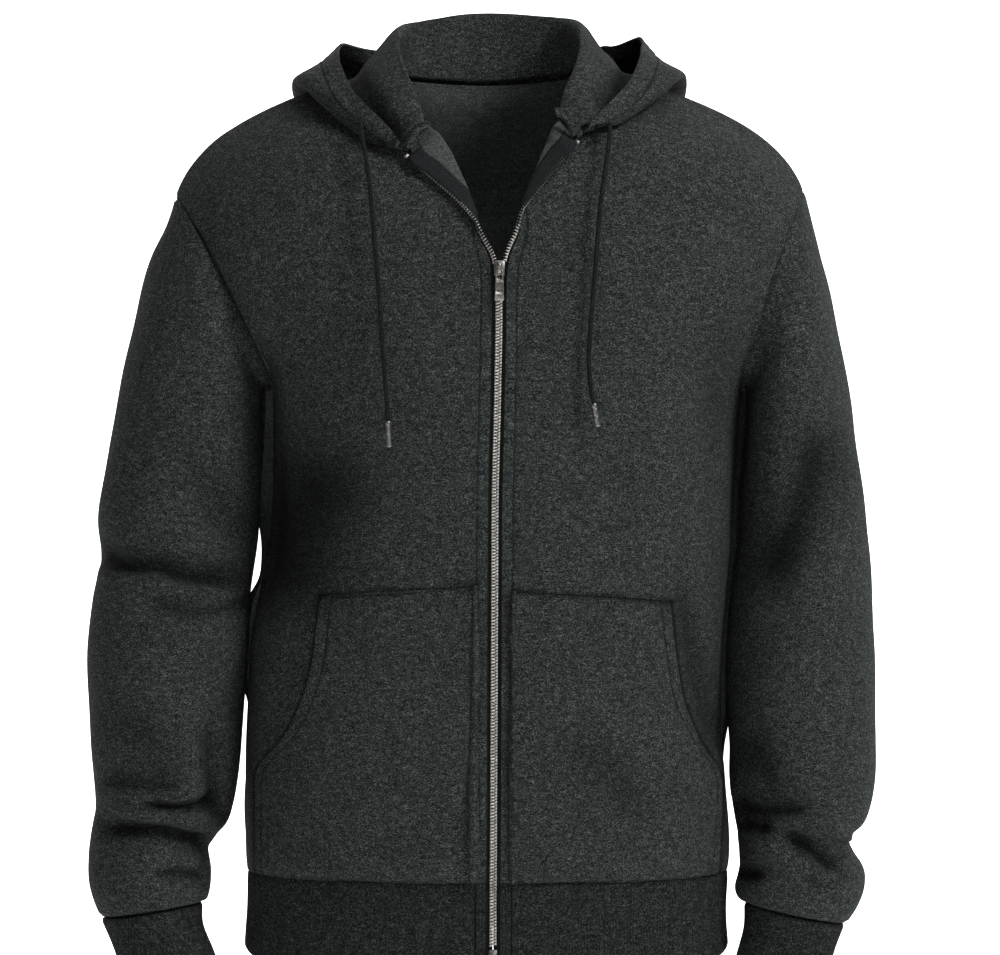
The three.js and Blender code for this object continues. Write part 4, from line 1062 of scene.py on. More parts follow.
def tube_faces(rows, sides, looped=False):
    """Faces of a tube of rings, with its two ends closed, or joined to each other"""
    faces = []
    for j in range(rows if looped else rows - 1):
        for i in range(sides):
            k, n = (i + 1) % sides, (j + 1) % rows
            faces.append((j * sides + i, j * sides + k, n * sides + k, n * sides + i))
    if not looped:
        faces += [tuple(range(sides))[::-1], tuple(range((rows - 1) * sides, rows * sides))]
    return faces


def joined(pieces):
    points, faces, start = [], [], 0
    for more, sides in pieces:
        points.append(np.asarray(more, float))
        faces += [tuple(i + start for i in face) for face in sides]
        start += len(more)
    return np.concatenate(points), faces


def add_piece(name, pieces, material, body="garment"):
    thing = mesh_object(name, *joined(pieces), material)
    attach(thing, body)
    return thing


def stands_for(node):
    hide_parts(node)


CORD_STEPS = 400
CORD_SIDES = 16
BRAID_STRANDS = 4
BRAID_PITCH = 7.0
BRAID_DEPTH = 0.11
TIP_STEPS = 44
TIP_SIDES = 20
TIP_LAP = 0.2
TIP_END_SIZE = 0.72
TIP_ROUNDING = 0.9
CRIMP_PLACE = 4
CRIMP_SHARE = 0.55
CRIMP_WIDTH = 0.9
CRIMP_DEPTH = 0.07


def braid(run, angle):
    turn = run / BRAID_PITCH * 2 * np.pi
    return 1 - BRAID_DEPTH + BRAID_DEPTH * np.maximum(
        np.cos(BRAID_STRANDS * angle + turn * BRAID_STRANDS / 2),
        np.cos(BRAID_STRANDS * angle - turn * BRAID_STRANDS / 2),
    )


def crimped(length):
    """The shape of a metal tip, rounded at its ends and pressed in at two places"""
    def shape(run, angle):
        ends = min(run, length - run)
        rounding = TIP_END_SIZE + (1 - TIP_END_SIZE) * min(ends / TIP_ROUNDING, 1)
        places = (CRIMP_PLACE, length * CRIMP_SHARE)
        ring = CRIMP_DEPTH * sum(dip(run - place, CRIMP_WIDTH) for place in places)
        return np.full_like(angle, rounding - ring)
    return shape


for side, name in NAMES.items():
    route = np.array(CORD[side], float)
    path = row_value(route, np.linspace(0, len(route) - 1, CORD_STEPS))
    cord = tube(path, CORD_DIAMETER / 2, CORD_SIDES, braid)
    cord_piece = add_piece(f"drawstring_{name}", [cord], CORD_LOOK)
    stands_for(f"cord_{name}")
    way = unit(path[-1] - path[-2])
    tip_run = np.linspace(0, TIP_LENGTH[side], TIP_STEPS)[:, None]
    tip_path = path[-1] - way * TIP_LAP + way * tip_run
    tip_tube = tube(tip_path, TIP_DIAMETER / 2, TIP_SIDES, crimped(TIP_LENGTH[side]))
    tip = add_piece(f"drawstring_tip_{name}", [tip_tube], TIP_LOOK)
    stands_for(f"cord_tip_{name}")

# Creases, drawn in the picture's pixels, in groups by the way the cloth faces

FRONT, BACK = -1, 1
CREASES = {
    "front_right": {FRONT: [
        ([(330, 410), (306, 480), (284, 550), (268, 640)], (58, 40), 11.5, (0.35, 0.3)),
        ([(262, 330), (266, 400), (266, 475), (263, 545), (256, 600)], (13, 20), 5.5, (0.3, 0.3)),
        ([(300, 360), (330, 330), (372, 310), (420, 305)], (20, 26), 1.8, (0.4, 0.5)),
        ([(262, 690), (300, 660), (350, 640), (420, 632)], (20, 20), 1.4, (0.3, 0.6)),
        ([(215, 215), (240, 262), (262, 306), (272, 350)], (12, 18), -3.3, (0.35, 0.3)),
        ([(330, 850), (380, 846), (440, 856)], (12, 10), 1.2, (0.4, 0.4)),
        ([(275, 842), (300, 850), (330, 845)], (10, 8), 1.4, (0.4, 0.4)),
    ]},
    "front_left": {FRONT: [
        ([(676, 560), (690, 625), (704, 690), (724, 770)], (12, 16), 6.8, (0.3, 0.2)),
        ([(640, 330), (664, 400), (668, 470), (660, 540)], (24, 20), -2.7, (0.4, 0.4)),
        ([(600, 430), (622, 500), (628, 570)], (20, 22), 1.9, (0.5, 0.5)),
        ([(545, 715), (585, 755), (630, 800), (668, 846)], (22, 22), 4.9, (0.4, 0.4)),
        ([(700, 300), (712, 360), (716, 430), (706, 520)], (16, 20), 3.2, (0.4, 0.4)),
        ([(560, 850), (610, 846), (680, 858)], (12, 10), 1.1, (0.4, 0.4)),
    ]},
    "back": {BACK: [
        ([(300, 200), (360, 290), (400, 390), (410, 480)], (26, 34), 4.8, (0.4, 0.4)),
        ([(690, 190), (640, 280), (600, 380), (590, 460)], (34, 26), 4.5, (0.4, 0.4)),
        ([(270, 420), (330, 470), (400, 500), (470, 505)], (24, 26), 3.6, (0.3, 0.5)),
        ([(720, 430), (660, 486), (590, 520), (520, 528)], (26, 24), 3.3, (0.3, 0.5)),
        ([(280, 600), (350, 640), (430, 655), (520, 650)], (20, 24), 3.0, (0.3, 0.5)),
        ([(715, 640), (640, 690), (560, 712), (480, 716)], (24, 20), 2.7, (0.3, 0.5)),
        ([(300, 820), (380, 836), (470, 842)], (14, 12), 2.4, (0.4, 0.5)),
        ([(690, 815), (610, 838), (530, 846)], (12, 14), 2.1, (0.4, 0.5)),
    ]},
    "sleeve_right": {FRONT: [
        ([(86, 554), (103, 558), (125, 568), (155, 568), (178, 576), (206, 581), (256, 585)],
         (18, 8), 12.0, (0.1, 0.2)),
        ([(128, 584), (150, 600), (170, 609), (198, 614), (232, 610), (258, 592)], (12, 7), 6.5, (0.3, 0.2)),
        ([(112, 590), (165, 588), (215, 598), (246, 596)], (7, 7), -3.4, (0.4, 0.3)),
        ([(96, 776), (133, 788), (165, 789), (196, 784)], (22, 7), 7.5, (0.2, 0.4)),
        ([(132, 797), (146, 804), (176, 808), (204, 806), (226, 798)], (7, 7), 10.5, (0.3, 0.1)),
        ([(120, 795), (150, 797), (190, 797), (206, 796)], (5, 5), -3.4, (0.3, 0.3)),
        ([(94, 820), (112, 824), (133, 826), (163, 830), (189, 838), (210, 841)], (7, 13), 11.5, (0.2, 0.05)),
        ([(120, 816), (150, 817), (190, 820), (212, 826)], (5, 5), -4.4, (0.3, 0.2)),
        ([(214, 700), (213, 740), (216, 780), (222, 826)], (8, 12), 9.0, (0.4, 0.1)),
        ([(148, 877), (168, 871), (189, 872), (208, 876)], (6, 9), 8.5, (0.3, 0.1)),
        ([(120, 862), (150, 858), (180, 856), (204, 858)], (9, 9), -4.4, (0.3, 0.2)),
        ([(176, 230), (205, 300), (222, 380), (226, 460)], (26, 20), -5.5, (0.4, 0.4)),
        ([(150, 420), (196, 470), (226, 520), (240, 560)], (24, 22), 4.6, (0.4, 0.4)),
        ([(104, 700), (130, 730), (150, 748), (190, 752)], (20, 16), 5.0, (0.4, 0.4)),
    ], BACK: [
        ([(100, 560), (150, 576), (200, 572), (250, 590)], (16, 9), 9.2, (0.2, 0.2)),
        ([(104, 620), (150, 640), (210, 634)], (18, 16), 5.1, (0.3, 0.4)),
        ([(98, 806), (150, 812), (210, 800)], (9, 7), 7.8, (0.2, 0.3)),
        ([(98, 838), (140, 832), (206, 838)], (8, 7), 8.7, (0.2, 0.2)),
        ([(104, 872), (150, 878), (200, 868)], (9, 7), 5.5, (0.3, 0.3)),
    ]},
    "sleeve_left": {FRONT: [
        ([(826, 400), (812, 470), (780, 545), (738, 612)], (30, 26), 11.5, (0.3, 0.3)),
        ([(850, 520), (826, 580), (796, 640), (770, 690)], (26, 26), -4.6, (0.4, 0.4)),
        ([(728, 800), (742, 808), (760, 812), (790, 812), (826, 800)], (14, 7), 10.0, (0.05, 0.4)),
        ([(728, 818), (742, 824), (756, 828), (778, 826)], (9, 8), 11.0, (0.05, 0.4)),
        ([(772, 832), (791, 837), (811, 846), (824, 856), (846, 872)], (8, 11), 11.0, (0.3, 0.2)),
        ([(800, 824), (826, 826), (850, 838)], (8, 6), -5.1, (0.4, 0.1)),
        ([(728, 872), (745, 871), (772, 874)], (7, 9), 8.0, (0.1, 0.5)),
        ([(744, 850), (770, 852), (796, 862)], (8, 9), -4.6, (0.3, 0.4)),
        ([(790, 878), (816, 886), (838, 898)], (8, 7), 4.6, (0.4, 0.4)),
        ([(816, 250), (806, 330), (790, 400)], (24, 24), -4.6, (0.4, 0.4)),
        ([(740, 720), (752, 756), (768, 782), (800, 790)], (20, 16), 5.5, (0.3, 0.4)),
    ], BACK: [
        ([(862, 560), (810, 582), (750, 574)], (14, 10), 9.2, (0.2, 0.3)),
        ([(860, 630), (800, 650), (740, 640)], (18, 16), 5.5, (0.3, 0.3)),
        ([(866, 800), (800, 814), (736, 806)], (9, 7), 7.8, (0.2, 0.2)),
        ([(856, 840), (800, 836), (738, 842)], (8, 7), 8.7, (0.1, 0.2)),
        ([(856, 876), (800, 884), (742, 874)], (9, 7), 5.1, (0.2, 0.3)),
    ]},
    "hood": {FRONT: [
        ([(340, 40), (338, 61), (345, 80), (356, 101), (384, 129), (408, 152)], (17, 26), 10.0, (0.05, 0.2)),
        ([(607, 28), (625, 38), (635, 52), (635, 65), (629, 78), (605, 108), (590, 118)],
         (26, 17), 10.0, (0.05, 0.2)),
        ([(312, 66), (336, 92), (372, 118), (406, 140)], (5, 5), 1.3, (0.4, 0.3)),
        ([(410, 30), (402, 70), (412, 110)], (10, 10), 2.6, (0.4, 0.4)),
        ([(352, 50), (362, 82), (386, 112)], (8, 8), 1.9, (0.4, 0.4)),
        ([(630, 40), (622, 72), (598, 104)], (7, 7), 1.9, (0.4, 0.4)),
        ([(590, 22), (598, 56), (590, 88)], (8, 8), 2.2, (0.4, 0.4)),
    ], BACK: [
        ([(400, 60), (440, 130), (500, 160), (560, 128), (600, 60)], (16, 16), 4.2, (0.3, 0.3)),
        ([(360, 110), (420, 200), (480, 250)], (14, 16), 3.5, (0.4, 0.5)),
        ([(640, 110), (580, 200), (520, 250)], (16, 14), 3.2, (0.4, 0.5)),
    ]},
}


# Stitches along lines on the cloth

STITCH_LENGTH = 2.3
STITCH_PITCH = 3.1
STITCH_RADIUS = 0.32
STITCH_SIDES = 4
STITCH_LIFT = 0.05
STITCH_ARCH = 0.12
STITCH_END_DIP = 0.22

# A stitch's rings: share of its length, and share of its radius
STITCH_RINGS = np.array([(0, 0.35), (0.18, 0.95), (0.5, 1.0), (0.82, 0.95), (1, 0.35)])


def line_on(cloth, distance, value, axis, inside=False):
    """The points and normals where a distance over the cloth has a value, one for each row
    or column"""
    places = cloth.inner() if inside else cloth.outer()
    ways = -cloth.ways if inside else cloth.ways
    if axis == 1:
        distance, places, ways = distance.T, places.transpose(1, 0, 2), ways.transpose(1, 0, 2)
    points, turned = [], []
    for k in range(distance.shape[1]):
        d = distance[:, k]
        if not d.min() < value < d.max():
            continue
        order = np.argsort(d)
        i = np.interp(value, d[order], order.astype(float))
        low = int(i)
        high, share = min(low + 1, len(d) - 1), i - low
        points.append(places[low, k] * (1 - share) + places[high, k] * share)
        turned.append(ways[low, k] * (1 - share) + ways[high, k] * share)
    return np.array(points), unit(np.array(turned))


def stitched(points, ways):
    """One short raised thread after another along a line"""
    run = run_along(points)
    angle = angles_round(STITCH_SIDES)
    shares, sizes = STITCH_RINGS.T
    arch = STITCH_LIFT + STITCH_ARCH * np.sin(shares * np.pi) - STITCH_END_DIP * (sizes < 0.5)
    faces = tube_faces(len(STITCH_RINGS), STITCH_SIDES)
    pieces = []
    for start in np.arange(STITCH_PITCH / 2, run[-1] - STITCH_PITCH, STITCH_PITCH):
        a, b = (value_at(at, run, points) for at in (start, start + STITCH_LENGTH))
        up = unit(value_at(start, run, ways))
        side = unit(np.cross(unit(b - a), up))
        centres = a + shares[:, None] * (b - a) + arch[:, None] * up
        circle = np.cos(angle)[:, None] * side + np.sin(angle)[:, None] * up
        more = centres[:, None] + STITCH_RADIUS * sizes[:, None, None] * circle
        pieces.append((more.reshape(-1, 3), faces))
    return pieces


def seam_thread(name, *lines):
    pieces = [piece for points, ways in lines for piece in stitched(points, ways)]
    return add_piece(name, pieces, THREAD_LOOK)


def inner_look(thing, rows, columns, closed, look):
    """Gives the inner layer of a wall its own finish"""
    thing.data.materials.append(look)
    across = columns if closed else columns - 1
    count = (rows - 1) * across
    marks = np.zeros(len(thing.data.polygons), np.int32)
    marks[count:2 * count] = 1
    thing.data.polygons.foreach_set("material_index", marks)


def sewn(cloth, look, slot, held, rests_on, *nodes, inside=None):
    """Makes a piece of cloth, and hides the parts that it stands for. slot, held and rests_on, which give how
    it was cut, are not used
    """
    thing = cloth.make(look)
    rows, columns = cloth.points.shape[:2]
    if inside:
        inner_look(thing, rows, columns, cloth.closed, inside)
    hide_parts(*nodes)
    return thing


# Fronts, with their pockets, zip tapes and stitching

FRONT_ROWS = spread((0, 0.35, 5), (0.35, 25.6, 182), (25.6, 26, 5))
FRONT_PLACES = spread((0, 0.5, 6), (0.5, 15.4, 62), (15.4, 17, 22), (17, 20, 36))
FRONT_ARMHOLE_DEPTH = {RIGHT: 1.9, LEFT: 0.5}
PLACKET_STITCH = 8.6
POCKET_ROWS_FINE = 72
POCKET_PLACES = spread((0, 1.8, 22), (1.8, 12.4, 36), (12.4, 13.7, 8))
POCKET_SINK = POCKET_EASE + 0.5
POCKET_SINK_WIDTH = 7
POCKET_MIDDLE_SINK_WIDTH = 8
POCKET_HEM = 10.5
POCKET_TOP_STITCH = 2.2
POCKET_TOP_GROOVE = 2.6
POCKET_SHADOW_WIDTH = 2.2
POCKET_SHADOW_STEP = 3
OPENING_SHADOW = 0.8
TOP_SHADOW = 0.55


def make_pocket(side, name, front):
    """A pocket that lies on a front, with painted shade along its sewn edges, and the painted shadow that it
    throws there
    """
    flip = side == LEFT
    rough = pocket_grid(side)
    lift = FLEECE / 2 + POCKET_EASE + POCKET_FLEECE / 2
    rough = rough + normals(rough, False, flip) * lift
    rows = spread((0, len(rough) - 1, POCKET_ROWS_FINE))
    pocket = Cloth(f"pocket_{name}", rough, rows, POCKET_PLACES, POCKET_FLEECE, flip=flip,
                   creases=CREASES[f"front_{name}"])
    pocket.sink += POCKET_SINK * dip(pocket.from_high, POCKET_SINK_WIDTH)
    pocket.sink += POCKET_SINK * np.maximum(
        dip(pocket.from_last, POCKET_MIDDLE_SINK_WIDTH), dip(pocket.from_low, POCKET_SINK_WIDTH))
    pocket.groove(pocket.from_first - POCKET_HEM, width=1.6, depth=0.8, pucker=0.35, seed=5)
    pocket.groove(pocket.from_high - POCKET_TOP_GROOVE, width=1.4, depth=0.6, pucker=0.25, seed=7)
    # Painted shade along the pocket's sewn edges
    for distance, width, share in (
            (pocket.from_high, 1.0, 0.8), (pocket.from_last, 1.6, 0.5), (pocket.from_low, 2.0, 0.35)):
        pocket.painted_shade += share * dip(distance, width)
    pocket.inner = lambda: pocket.points - pocket.ways * (POCKET_FLEECE / 2 + pocket.sink)[..., None]
    # Painted shadow of the pocket's opening and top edges on the front, where the front faces forward
    at = picture(front.points)
    facing = front.ways[..., 1] < 0
    for edge, share in ((pocket.points[:, 0], OPENING_SHADOW), (pocket.points[-1], TOP_SHADOW)):
        away = np.abs(line_distance(at, picture(edge)[::POCKET_SHADOW_STEP])[0])
        front.painted_shade += share * np.exp(-(away / POCKET_SHADOW_WIDTH) ** 2) * facing
    return pocket


fronts = {}
for side, name in NAMES.items():
    grid, ends = front_grid(side)
    flip = side == LEFT
    cloth = Cloth(f"front_{name}", grid, FRONT_ROWS, FRONT_PLACES, FLEECE, flip=flip,
                  creases=CREASES[f"front_{name}"])
    cloth.edge(cloth.from_first, width=4.0, depth=FRONT_ARMHOLE_DEPTH[side])
    cloth.edge(cloth.from_low, width=3.5, depth=1.3)
    cloth.edge(cloth.from_high, width=3.5, depth=1.2)
    cloth.groove(cloth.from_last - PLACKET_STITCH, width=1.5, depth=0.8, pucker=0.25, seed=3)
    fronts[side] = cloth
    seam_thread(
        f"placket_stitching_{name}", line_on(cloth, cloth.from_last, PLACKET_STITCH, 1),
        line_on(cloth, cloth.from_last, PLACKET_STITCH, 1, inside=True))

    pocket = make_pocket(side, name, cloth)
    sewn(cloth, FLEECE_LOOK, "fleece", "stretched", ["back"], f"front_{name}", inside=INSIDE_LOOK)
    sewn(pocket, FLEECE_LOOK, "fleece", "stretched", [f"front_{name}"], f"pocket_{name}")
    seam_thread(
        f"pocket_stitching_{name}", line_on(pocket, pocket.from_first, POCKET_HEM, 1),
        line_on(pocket, pocket.from_high, POCKET_TOP_STITCH, 0))

    rough = tape_grid(side, cloth, ends)
    tape = Cloth(f"tape_{name}", rough, np.arange(len(rough)), np.arange(rough.shape[1]), TAPE,
                 flip=flip, waviness=0)
    sewn(tape, TAPE_LOOK, "tape", "stretched", [f"front_{name}"], f"zip_tape_{name}")

# Back panel, fuller beside the arms where the photograph shows it. Each swell has its
# middle height, half its height, how square it is, and its share
BACK_PLACES = spread((0, 0.25, 6), (0.25, 17.75, 100), (17.75, 18, 6))
BACK_SWELL = 13.0
BACK_SWELL_IN = 17
BACK_SWELL_WIDTH = 20
SWELLS = {RIGHT: [(-283, 73, 6, 1), (-447, 46, 6, 0.85)], LEFT: [(-366, 158, 8, 1)]}

back = Cloth("back_panel", back_grid(), FRONT_ROWS, BACK_PLACES, FLEECE, creases=CREASES["back"],
             waviness=1.0)
side_seam = np.minimum(back.from_first, back.from_last)
height = back.points[..., 2]
beside = {
    side: sum(share * np.exp(-((height - middle) / half) ** power) for middle, half, power, share in swells)
    for side, swells in SWELLS.items()
}
beside_arm = np.where(back.points[..., 0] < 0, beside[RIGHT], beside[LEFT])
swell = BACK_SWELL * np.exp(-((side_seam - BACK_SWELL_IN) / BACK_SWELL_WIDTH) ** 2) * beside_arm
back.points = back.points + back.ways * swell[..., None]
back.edge(side_seam, width=4.0, depth=1.6)
back.edge(np.minimum(back.from_low, back.from_high), width=3.5, depth=1.2)
sewn(back, FLEECE_LOOK, "fleece", "stretched", ["hood"], "back", inside=INSIDE_LOOK)

# Sleeves and cuffs

SLEEVE_ROWS = spread((0, 0.25, 6), (0.25, 23.8, 192), (23.8, 24, 5))
SLEEVE_PLACES = spread((0, SLEEVE_SIDES, 126))
SLEEVE_TOP_DEPTH = {RIGHT: 2.2, LEFT: 0.5}
CUFF_RINGS = 4
CUFF_ROWS = spread((0, 0.2, 4), (0.2, 2.8, 12), (2.8, 3, 4))
RIB_COUNT = 104
RIB_DEPTH = 0.2
RIB_POINTS = 4
CUFF_PLACES = spread((0, SLEEVE_SIDES, RIB_COUNT * RIB_POINTS))

for side, name in NAMES.items():
    flip = side == LEFT
    sleeve = Cloth(f"sleeve_{name}", sleeve_grid(side), SLEEVE_ROWS, SLEEVE_PLACES, FLEECE, closed=True,
                   flip=flip, creases=CREASES[f"sleeve_{name}"], waviness=0.9)
    sleeve.edge(sleeve.from_low, width=4.5, depth=SLEEVE_TOP_DEPTH[side])
    sleeve.edge(sleeve.from_high, width=4.0, depth=1.6)
    sewn(sleeve, FLEECE_LOOK, "fleece", "stretched", ["back"], f"sleeve_{name}", inside=INSIDE_LOOK)

    rings = np.array(tube_rings(CUFF[side], CUFF_RINGS))
    cuff = Cloth(f"cuff_{name}", rings, CUFF_ROWS, CUFF_PLACES, RIB, closed=True, flip=flip, waviness=0.3)
    cuff.edge(cuff.from_low, width=3.0, depth=1.0)
    turn = np.arange(RIB_COUNT * RIB_POINTS) / RIB_POINTS * 2 * np.pi
    cuff.relief += RIB_DEPTH * np.cos(turn)
    sewn(cuff, RIB_LOOK, "rib", "stretched", [f"sleeve_{name}"], f"cuff_{name}")

# Waistband, hanging lower in front and tucked up under the hem

WAIST_ROWS = spread((0, 0.12, 4), (0.12, 1.9, 9), (1.9, 2, 4))
WAIST_RIBS = 420
WAIST_DROP = 9.5
WAIST_DROP_HEIGHT = 34
WAIST_TUCK = 1.7
WAIST_TUCK_HEIGHT = 6

rough = waistband_grid()
waist_places = spread((0, rough.shape[1] - 1, WAIST_RIBS * RIB_POINTS))
band = Cloth("waistband_rib", rough, WAIST_ROWS, waist_places, RIB, waviness=0.4)
in_front = np.clip(-FACING_GAIN * band.ways[..., 1], 0, 1)
band.points[..., 2] -= WAIST_DROP * in_front * np.exp(-(band.from_low / WAIST_DROP_HEIGHT) ** 2)
band.points[..., 2] += WAIST_TUCK * np.exp(-(band.from_high / WAIST_TUCK_HEIGHT) ** 2)
band.edge(band.from_high, width=3.0, depth=1.1)
run = band.from_first / band.from_first[:, -1:]
band.relief += RIB_DEPTH * np.cos(run * WAIST_RIBS * 2 * np.pi)
for distance in (band.from_first, band.from_last):
    band.groove(distance - PLACKET_STITCH, width=1.5, depth=0.9, pucker=0, seed=4)
sewn(band, RIB_LOOK, "rib", "stretched", ["front_right", "front_left", "back"], "waistband")
seam_thread("waistband_stitching", line_on(band, band.from_first, PLACKET_STITCH, 1),
            line_on(band, band.from_last, PLACKET_STITCH, 1))

# Hood. Its seam laps down over the fronts near the zip, and its rim stands up a little

HOOD_ROWS = spread((0, 9, 60), (9, 12, 52))
HOOD_PLACES = spread((0, HOOD_STEPS_ROUND * 2, 200))
HOOD_CASING = 16.0
HOOD_LAP = 3.0
HOOD_LAP_REACH = 24
HOOD_LAP_HEIGHT = 7
HOOD_LAP_ROW = 6
RIM_RISE = 3.0
RIM_HEIGHT = 11

hood = Cloth("hood", hood_grid(), HOOD_ROWS, HOOD_PLACES, HOOD_FLEECE, creases=CREASES["hood"],
             waviness=1.1)
near_front = np.exp(-(np.minimum(hood.from_first, hood.from_last) / HOOD_LAP_REACH) ** 4)
down = unit(hood.points[:1] - hood.points[HOOD_LAP_ROW:HOOD_LAP_ROW + 1])
lap = HOOD_LAP * near_front * np.exp(-(hood.from_low / HOOD_LAP_HEIGHT) ** 2)
hood.points = hood.points + down * lap[..., None]
hood.alike = True
rise = RIM_RISE * np.exp(-(hood.from_high / RIM_HEIGHT) ** 2)
hood.points = hood.points - hood.ways * rise[..., None]
hood.edge(hood.from_low, width=4.0, depth=1.0)
hood.groove(hood.from_high - HOOD_CASING, width=1.8, depth=0.8, pucker=0.3, seed=9)
sewn(hood, FLEECE_LOOK, "fleece", "folded", ["front_right", "front_left", "back"], "hood")

# Bindings at the zip's two tops, along the first rows of the hood's ends

BINDING_EVERY = 8
BINDING_ROWS = 14
BINDING_LAST_ROW = 12
BINDING_STEPS = 49
BINDING_SMOOTHING = 8
BINDING_COLUMNS = 9
BINDING_HALF = 4.0
BINDING_FORWARD = {RIGHT: 3.0, LEFT: 4.6}
BINDING_THICKNESS = 1.6
BINDING_STITCH = 2.7
BINDING_EDGE_SINK = 0.9
BINDING_EDGE_WIDTH = 1.6


def binding_strip(side):
    """A strip's middle surface, along a smoothed path in front of one end of the hood"""
    column = hood.points[:, 0 if side == RIGHT else -1]
    places = np.linspace(0, BINDING_LAST_ROW, BINDING_STEPS)
    path = row_value(column[::BINDING_EVERY][:BINDING_ROWS], places)
    padded = np.pad(path, ((BINDING_SMOOTHING, BINDING_SMOOTHING), (0, 0)), mode="edge")
    window = np.ones(2 * BINDING_SMOOTHING + 1) / (2 * BINDING_SMOOTHING + 1)
    path = np.stack([np.convolve(padded[:, k], window, "valid") for k in range(3)], axis=1)
    path[:, 1] = np.minimum.accumulate(path[::-1, 1])[::-1] - BINDING_FORWARD[side]
    along = unit(np.gradient(path, axis=0))
    across = unit(np.cross(along, np.array([0, -1.0, 0])))
    offsets = np.linspace(-1, 1, BINDING_COLUMNS) * BINDING_HALF
    return path[:, None] + across[:, None] * offsets[None, :, None]


for side, name in NAMES.items():
    strip = binding_strip(side)
    places = np.arange(len(strip)), np.arange(BINDING_COLUMNS)
    flip = normals(strip, False, False)[..., 1].mean() > 0
    binding = Cloth(f"neck_binding_{name}", strip, *places, BINDING_THICKNESS, flip=flip, waviness=0)
    sides = np.minimum(binding.from_first, binding.from_last)
    binding.sink += BINDING_EDGE_SINK * dip(sides, BINDING_EDGE_WIDTH)
    off_middle = np.abs(binding.from_first - BINDING_HALF)
    binding.groove(off_middle - BINDING_STITCH, width=1.0, depth=0.35, pucker=0, seed=4)
    thing = binding.make(FLEECE_LOOK)
    lines = [line_on(binding, binding.from_first, BINDING_HALF + way * BINDING_STITCH, 1) for way in (-1, 1)]
    seam_thread(f"binding_stitching_{name}", *lines)

seam_thread("hood_stitching", line_on(hood, hood.from_high, HOOD_CASING, 0),
            line_on(hood, hood.from_high, HOOD_CASING, 0, inside=True))

# Zip. A tooth's outline runs from its root in the tape to its tip

TOOTH_PITCH = 2.54
TOOTH = [(-2.8, -1.0), (-1.35, -0.95), (-0.7, -0.36), (0.4, -0.5), (0.75, -0.28), (0.75, 0.28),
         (0.4, 0.5), (-0.7, 0.36), (-1.35, 0.95), (-2.8, 1.0)]
TOOTH_DEPTH = 2.5
TOOTH_CHAMFER = 0.28
TOOTH_LOOK_AHEAD = 0.5


def prism(outline, depth, chamfer, hollow=None):
    """A flat outline given a depth and soft edges, round a hole if hollow gives its outline"""
    outline = np.asarray(outline, float)

    def level(line, inset, y):
        middle = line.mean(axis=0)
        size = np.abs(line - middle).max()
        return [(x, y, z) for x, z in middle + (line - middle) * (1 - inset / size)]

    half = depth / 2
    rings = [level(outline, chamfer, -half), level(outline, 0, chamfer - half),
             level(outline, 0, half - chamfer), level(outline, chamfer, half)]
    if hollow is not None:
        hollow = np.asarray(hollow, float)
        rings += [level(hollow, 0, half), level(hollow, 0, -half)]
    points = [p for ring in rings for p in ring]
    return np.array(points), tube_faces(len(rings), len(outline), hollow is not None)


def placed(piece, middle, across, along, out):
    """A piece made in X, Y and Z, set down on the axes across, out and along"""
    points, faces = piece
    turn = np.stack([across, -out, along])
    if np.linalg.det(turn) < 0:
        faces = [face[::-1] for face in faces]
    return points @ turn + middle, faces


def facing_out(along, across):
    """The way that is square to both and points to the front"""
    out = np.cross(along, across)
    return out if out[1] < 0 else -out


def teeth_along(path, side_ways, start):
    """Teeth at even steps along a path, pointing the way of side_ways"""
    run = run_along(path)
    tooth = prism(TOOTH, TOOTH_DEPTH, TOOTH_CHAMFER)
    pieces = []
    for at in np.arange(start, run[-1] - TOOTH_PITCH / 3, TOOTH_PITCH):
        p, across = value_at(at, run, path), value_at(at, run, side_ways)
        along = unit(value_at(at + TOOTH_LOOK_AHEAD, run, path) - p)
        across = unit(across - along * (across @ along))
        pieces.append(placed(tooth, p, across, along, facing_out(along, across)))
    return pieces


CHAIN_STEPS = 700
CHAIN_END_Z = -685.5
CHAIN_INTO_SLIDER = 1
OPEN_TEETH_FROM = 1.9
OPEN_TEETH_TO = 8
OPEN_TEETH_STEPS = 240
OPEN_TEETH_START = 0.4
OPEN_EDGE_LOW_Z = -170
TEETH_IN = 0.2

line = zip_line()
fine = row_value(line, np.linspace(0, len(line) - 1, CHAIN_STEPS))
chain_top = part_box("zip_slider")[0][2] / MM + CHAIN_INTO_SLIDER
closed = fine[(fine[:, 2] < chain_top) & (fine[:, 2] > CHAIN_END_Z)]
pieces = []
for side in (RIGHT, LEFT):
    across = np.tile([-float(side), 0.0, 0.0], (len(closed), 1))
    pieces += teeth_along(closed, across, TOOTH_PITCH / 2 if side == LEFT else 0)
chain = add_piece("chain_closed", pieces, METAL_LOOK)
stands_for("zip_chain_closed")

for side, name in NAMES.items():
    teeth = row_value(OPENING[side]["teeth"], np.linspace(OPEN_TEETH_FROM, OPEN_TEETH_TO, OPEN_TEETH_STEPS))
    edge = fronts[side].points[:, -1]
    edge = edge[edge[:, 2] > OPEN_EDGE_LOW_Z]
    near = np.array([edge[np.argmin(np.linalg.norm(edge - p, axis=1))] for p in teeth])
    lead = unit(teeth - near)
    pieces = teeth_along(teeth - lead * TEETH_IN, lead, OPEN_TEETH_START)
    open_teeth = add_piece(f"chain_open_{name}", pieces, METAL_LOOK)
    stands_for(f"zip_chain_{name}")

# Slider, pull tab, stops and box


